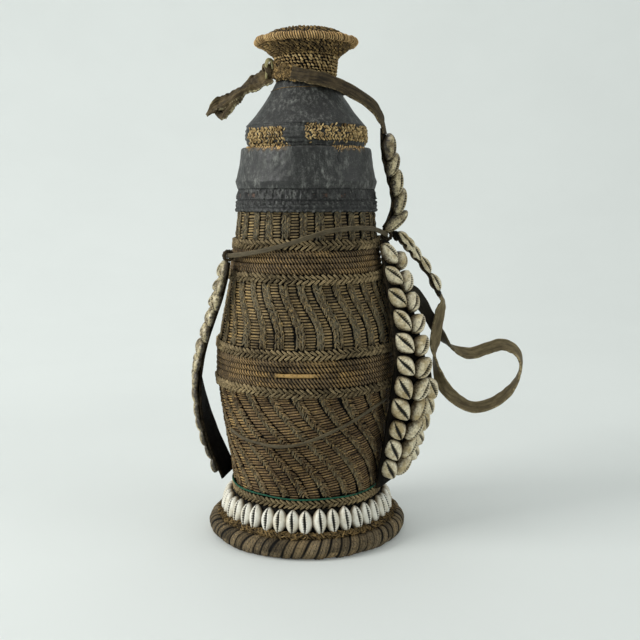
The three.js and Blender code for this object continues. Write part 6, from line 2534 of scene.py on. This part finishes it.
@dataclass
class Tether:
    """The noose round the lid's neck, its knot and tail, and the strap down to the tab."""

    sewn: SewnCopies
    width: float = 9.0
    thick: float = 1.8
    play: float = 0.6
    tilt: float = 6.0
    knot: float = math.radians(190)
    leaves: float = math.radians(-62)
    drawn_in: Triple = (3.5, -3.0, 0.0)

    def build(self) -> None:
        """Makes the tether."""
        fit(self._noose(), Look.BROWN_HIDE, "lid_tether", "leather", "lid_noose")
        self._knot()
        self._tail()
        self._strap()
        self._frayed()

    def level(self, angle: Array | float) -> Array:
        """Gives the noose's height at an angle."""
        return LID.neck_low + 2 - self.tilt * np.cos(angle)

    def reach(self, angle: Array | float) -> Array:
        """Gives the noose's radius at an angle."""
        z = self.level(angle)
        return np.maximum(LID.radius(z - self.width / 2), LID.radius(z + self.width / 2)) + self.play + self.thick / 2

    @property
    def knot_middle(self) -> Array:
        """The middle of the knot."""
        out = float(self.reach(self.knot)) + self.thick / 2 + GAP + 5
        return polar(out, self.knot, float(self.level(self.knot)))

    def _noose(self) -> Obj:
        """Makes the band round the lid's neck.

        Returns:
            The band.
        """
        count = 160
        a = -np.arange(count) * FULL_TURN / count
        middle = polar(self.reach(a), a, self.level(a))
        along = unit(np.roll(middle, -1, 0) - np.roll(middle, 1, 0))
        path = Path(middle, along, np.broadcast_to(UP, middle.shape), heading(a))
        flat = oval(self.width, self.thick, 16, 5.0)
        lift = 0.18 * ripple(a[:, None], flat[None, :, 0] * 4, 95, 12)
        return swept("lid_noose_band", path, flat, closed=True, lift=lift)

    def _knot(self) -> None:
        """Makes the knot: a thong drawn round itself, with a pale loop that stands up from it."""
        t = np.linspace(0, 1, 181)
        a = t * FULL_TURN * 2.5
        side, out = tangent(self.knot), heading(self.knot)
        centre = self.knot_middle + self.drawn_in
        wide, tall = 3.4 + 0.5 * np.sin(a * 0.6), 4.2 + 0.5 * np.cos(a * 0.7)
        middle = centre + side * (wide * np.cos(a))[:, None] + out * (2.6 * np.sin(a * 0.5 + 0.4))[:, None]
        middle = middle + UP * (tall * np.sin(a) - 0.8)[:, None]
        face = unit(side * np.cos(a)[:, None] + UP * np.sin(a)[:, None] + out * 0.3)
        wraps = swept("lid_knot_wraps", Path.through(middle, face), oval(4.2, 2.1, 14, 3.0))
        fit(wraps, Look.BROWN_HIDE, "lid_tether", "leather", "lid_knot")
        route = (
            *((-1.6, -3, -6.5), (-1.4, -3.6, -1), (-1.5, -4, 3.5), (0.2, -4.2, 6.4)),
            *((2.4, -3.8, 5.6), (3.2, -3, 1.5), (2.6, -1, -2)),
        )
        faces = (
            *((-0.3, -1, 0), (-0.5, -1, 0), (-0.8, -0.8, 0.3), (-0.2, -0.7, 0.8)),
            *((0.6, -0.6, 0.6), (0.9, -0.5, 0), (0.9, -0.5, 0)),
        )
        path = Path.hand_set(centre + np.array(route), np.array(faces), 60)
        width = np.interp(np.linspace(0, 1, 61), (0, 0.2, 0.45, 0.7, 1), (1.3, 2.2, 4.2, 3.6, 2.4))
        loop = swept("lid_knot_loop", path, np.stack([oval(w, 1.5, 12, 3.0) for w in width]))
        fit(loop, Look.PALE_HIDE, "lid_tether", "leather")

    def _tail(self) -> None:
        """Makes the crumpled tail, which ends in a point and a rounded flap."""
        near = ((5, -3.4, -3.4), (-3, -3.8, -6.5), (-12, -4, -11.5))
        far = ((-23, -4, -18.5), (-33, -4, -25), (-42, -4, -31))
        t = np.linspace(0, 1, 91)
        knots = (0, 0.12, 0.3, 0.46, 0.6, 0.74, 0.88, 1)
        upper = np.interp(t, knots, (5.6, 7.8, 7.8, 5.0, 4.8, 5.4, 4.2, 0.7))
        lower = np.interp(t, knots, (7.2, 9.0, 8.4, 5.4, 6.2, 6.6, 3.4, 0.7))
        ragged = 0.5 * ripple(t * 5, 0 * t, 98, 6)
        strip = self.knot_middle + np.array((*near, *far))
        self._strip("lid_tail_strip", strip, lower + ragged, upper + ragged, 96, "lid_tail")
        flap = self.knot_middle + np.array(
            ((-12, -4.6, -13), (-20, -5.2, -20.5), (-27.5, -5.6, -27.5), (-32.5, -5.4, -34))
        )
        half = np.interp(t, (0, 0.3, 0.7, 0.88, 0.96, 1), (1.2, 3.8, 6.4, 6.2, 4.4, 1.8))
        half = half + 0.4 * ripple(t * 4, 0 * t, 99, 6)
        self._strip("lid_tail_flap", flap, half, half, 100)

    @staticmethod
    def _strip(name: str, points: Array, back: Array, front: Array, seed: int, *nodes: str) -> None:
        """Makes one crumpled strip of the tail.

        Args:
            name: The piece's name.
            points: The points that it passes.
            back: How far it reaches to one side at each station.
            front: How far it reaches to the other.
            seed: Fixes its creases.
            nodes: The solids that it stands for.
        """
        path = Path.hand_set(points, np.tile((-0.3, -0.8, 0.5), (len(points), 1)), len(back) - 1)
        flat = oval(2.0, 2.0, 24, 5.0)
        t = np.linspace(0, 1, len(back))[:, None]
        x = (front - back)[:, None] / 2 + flat[None, :, 0] * (front + back)[:, None] / 2
        fold = 1.7 * np.sin(x * 0.55 + t * 5) * smooth(t, 0.0, 0.2) + 0.6 * ripple(t * 14 + x * 0.3, 0 * t, seed, 9)
        fit(swept(name, path, banded(flat, x), lift=fold), Look.TAIL_HIDE, "lid_tether", "leather", *nodes)

    def _strap(self) -> None:
        """Makes the strap from the noose to the tab, set on no body."""
        tab = tab_path()
        out = float(self.reach(self.leaves)) + self.thick / 2 + GAP + 1.1
        start = polar(out, self.leaves, float(self.level(self.leaves)))
        end = tab.middle[0] - tab.along[0] * 2 * GAP
        over = end - tab.along[0] * self.width / 2
        tucked = tab.middle[0] + tab.along[0] * 4 + tab.out[0] * 1.6
        bound = np.radians(np.arange(-112, -68, 11))
        wound = polar(self.reach(bound) + self.thick + 0.25, bound, self.level(bound) + 0.4 * np.sin(bound * 5))
        beyond_rim = start + (over - start) * 0.78 + (3.5, -2, 3)
        hang = [start, start + (over - start) * 0.4 + (3, -4, 3), beyond_rim, over, tucked]
        faces = heading(np.concatenate([bound, np.radians([-62, -45, -35, -28, -28])]))
        steps = 150
        path = Path.hand_set(np.concatenate([wound, hang]), faces, steps)
        flat = oval(2.0, self.thick, 18, 5.0)
        t = np.linspace(0, 1, steps + 1)[:, None]
        half = 4.7 + 0.35 * ripple(t * 9, 0 * t, 94, 8) - 1.7 * smooth(t, 0.8, 1)
        x = flat[None, :, 0] * half
        lift = 0.3 * ripple(t * 9 + x * 0.3, 0 * t, 97, 8) - 0.5 * (x / 4.5) ** 2 * smooth(t, 0.5, 0.6)
        piece = swept("lid_strap_hide", path, banded(flat, x), lift=lift)
        piece.data.materials.append(Look.BROWN_HIDE.material)
        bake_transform(piece)
        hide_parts("lid_strap")
        LOG.info("%s: %d faces between vessel and lid_tether", piece.name, len(piece.data.polygons))

    def _frayed(self) -> None:
        """Sets out the frayed fibre that covers the noose beside its knot."""
        draw = np.random.default_rng(101)
        count = 620
        angle = np.radians(draw.uniform(176, 258, count))
        rise = draw.uniform(-5.2, 5.4, count)
        r = self.reach(angle) + self.thick / 2 + draw.uniform(-0.1, 0.9, count)
        side = draw.choice((-0.9, 0.9), count) + draw.normal(0, 0.3, count)
        long = tangent(angle) * np.cos(side)[:, None] + UP * np.sin(side)[:, None]
        size = drawn_sizes(draw, count, (1.1, 1.7), (0.5, 0.75), (0.5, 0.9))
        worn = draw.random(count) ** 3 * 0.9
        spots = Spots()
        spots.add(polar(r, angle, self.level(angle) + rise), long, heading(angle), size, worn=worn)
        piece = self.sewn.set_out("noose_fibre", self.sewn.grain, spots, Look.BROWN, 102, 0.1, 0.2)
        fit(piece, None, "lid_tether", "tan_fibre")


def main() -> None:
    """Builds the studio and the jug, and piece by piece."""
    logging.basicConfig(level=logging.INFO, format="%(name)s: %(message)s")
    Studio().build()
    HandleLoop().build()
    sewn = SewnCopies()
    Basket(sewn).build()
    places = ("foot", "belly_low", "belly_high", "upper", "shoulder")
    for seed, (place, level) in enumerate(zip(places, JUG.levels), 21):
        Plait(f"{place}_plait", level, f"{place}_braid").build(sewn, seed)
    CoilRows("belly_coils", "belly_coil_rows", BELLY_LOW, BELLY_HIGH, 4, 170, (1, 252.0, 276.0)).build(26)
    CoilRows("shoulder_coils", "shoulder_coil_rows", UPPER, SHOULDER, 3, 152).build(27)
    Foot(sewn).build()
    Collar(sewn).build()
    Thongs().build()
    ShellStraps(sewn).build()
    Lid(sewn).build()
    Tether(sewn).build()
    sewn.clear()


if __name__ == "__main__":
    main()
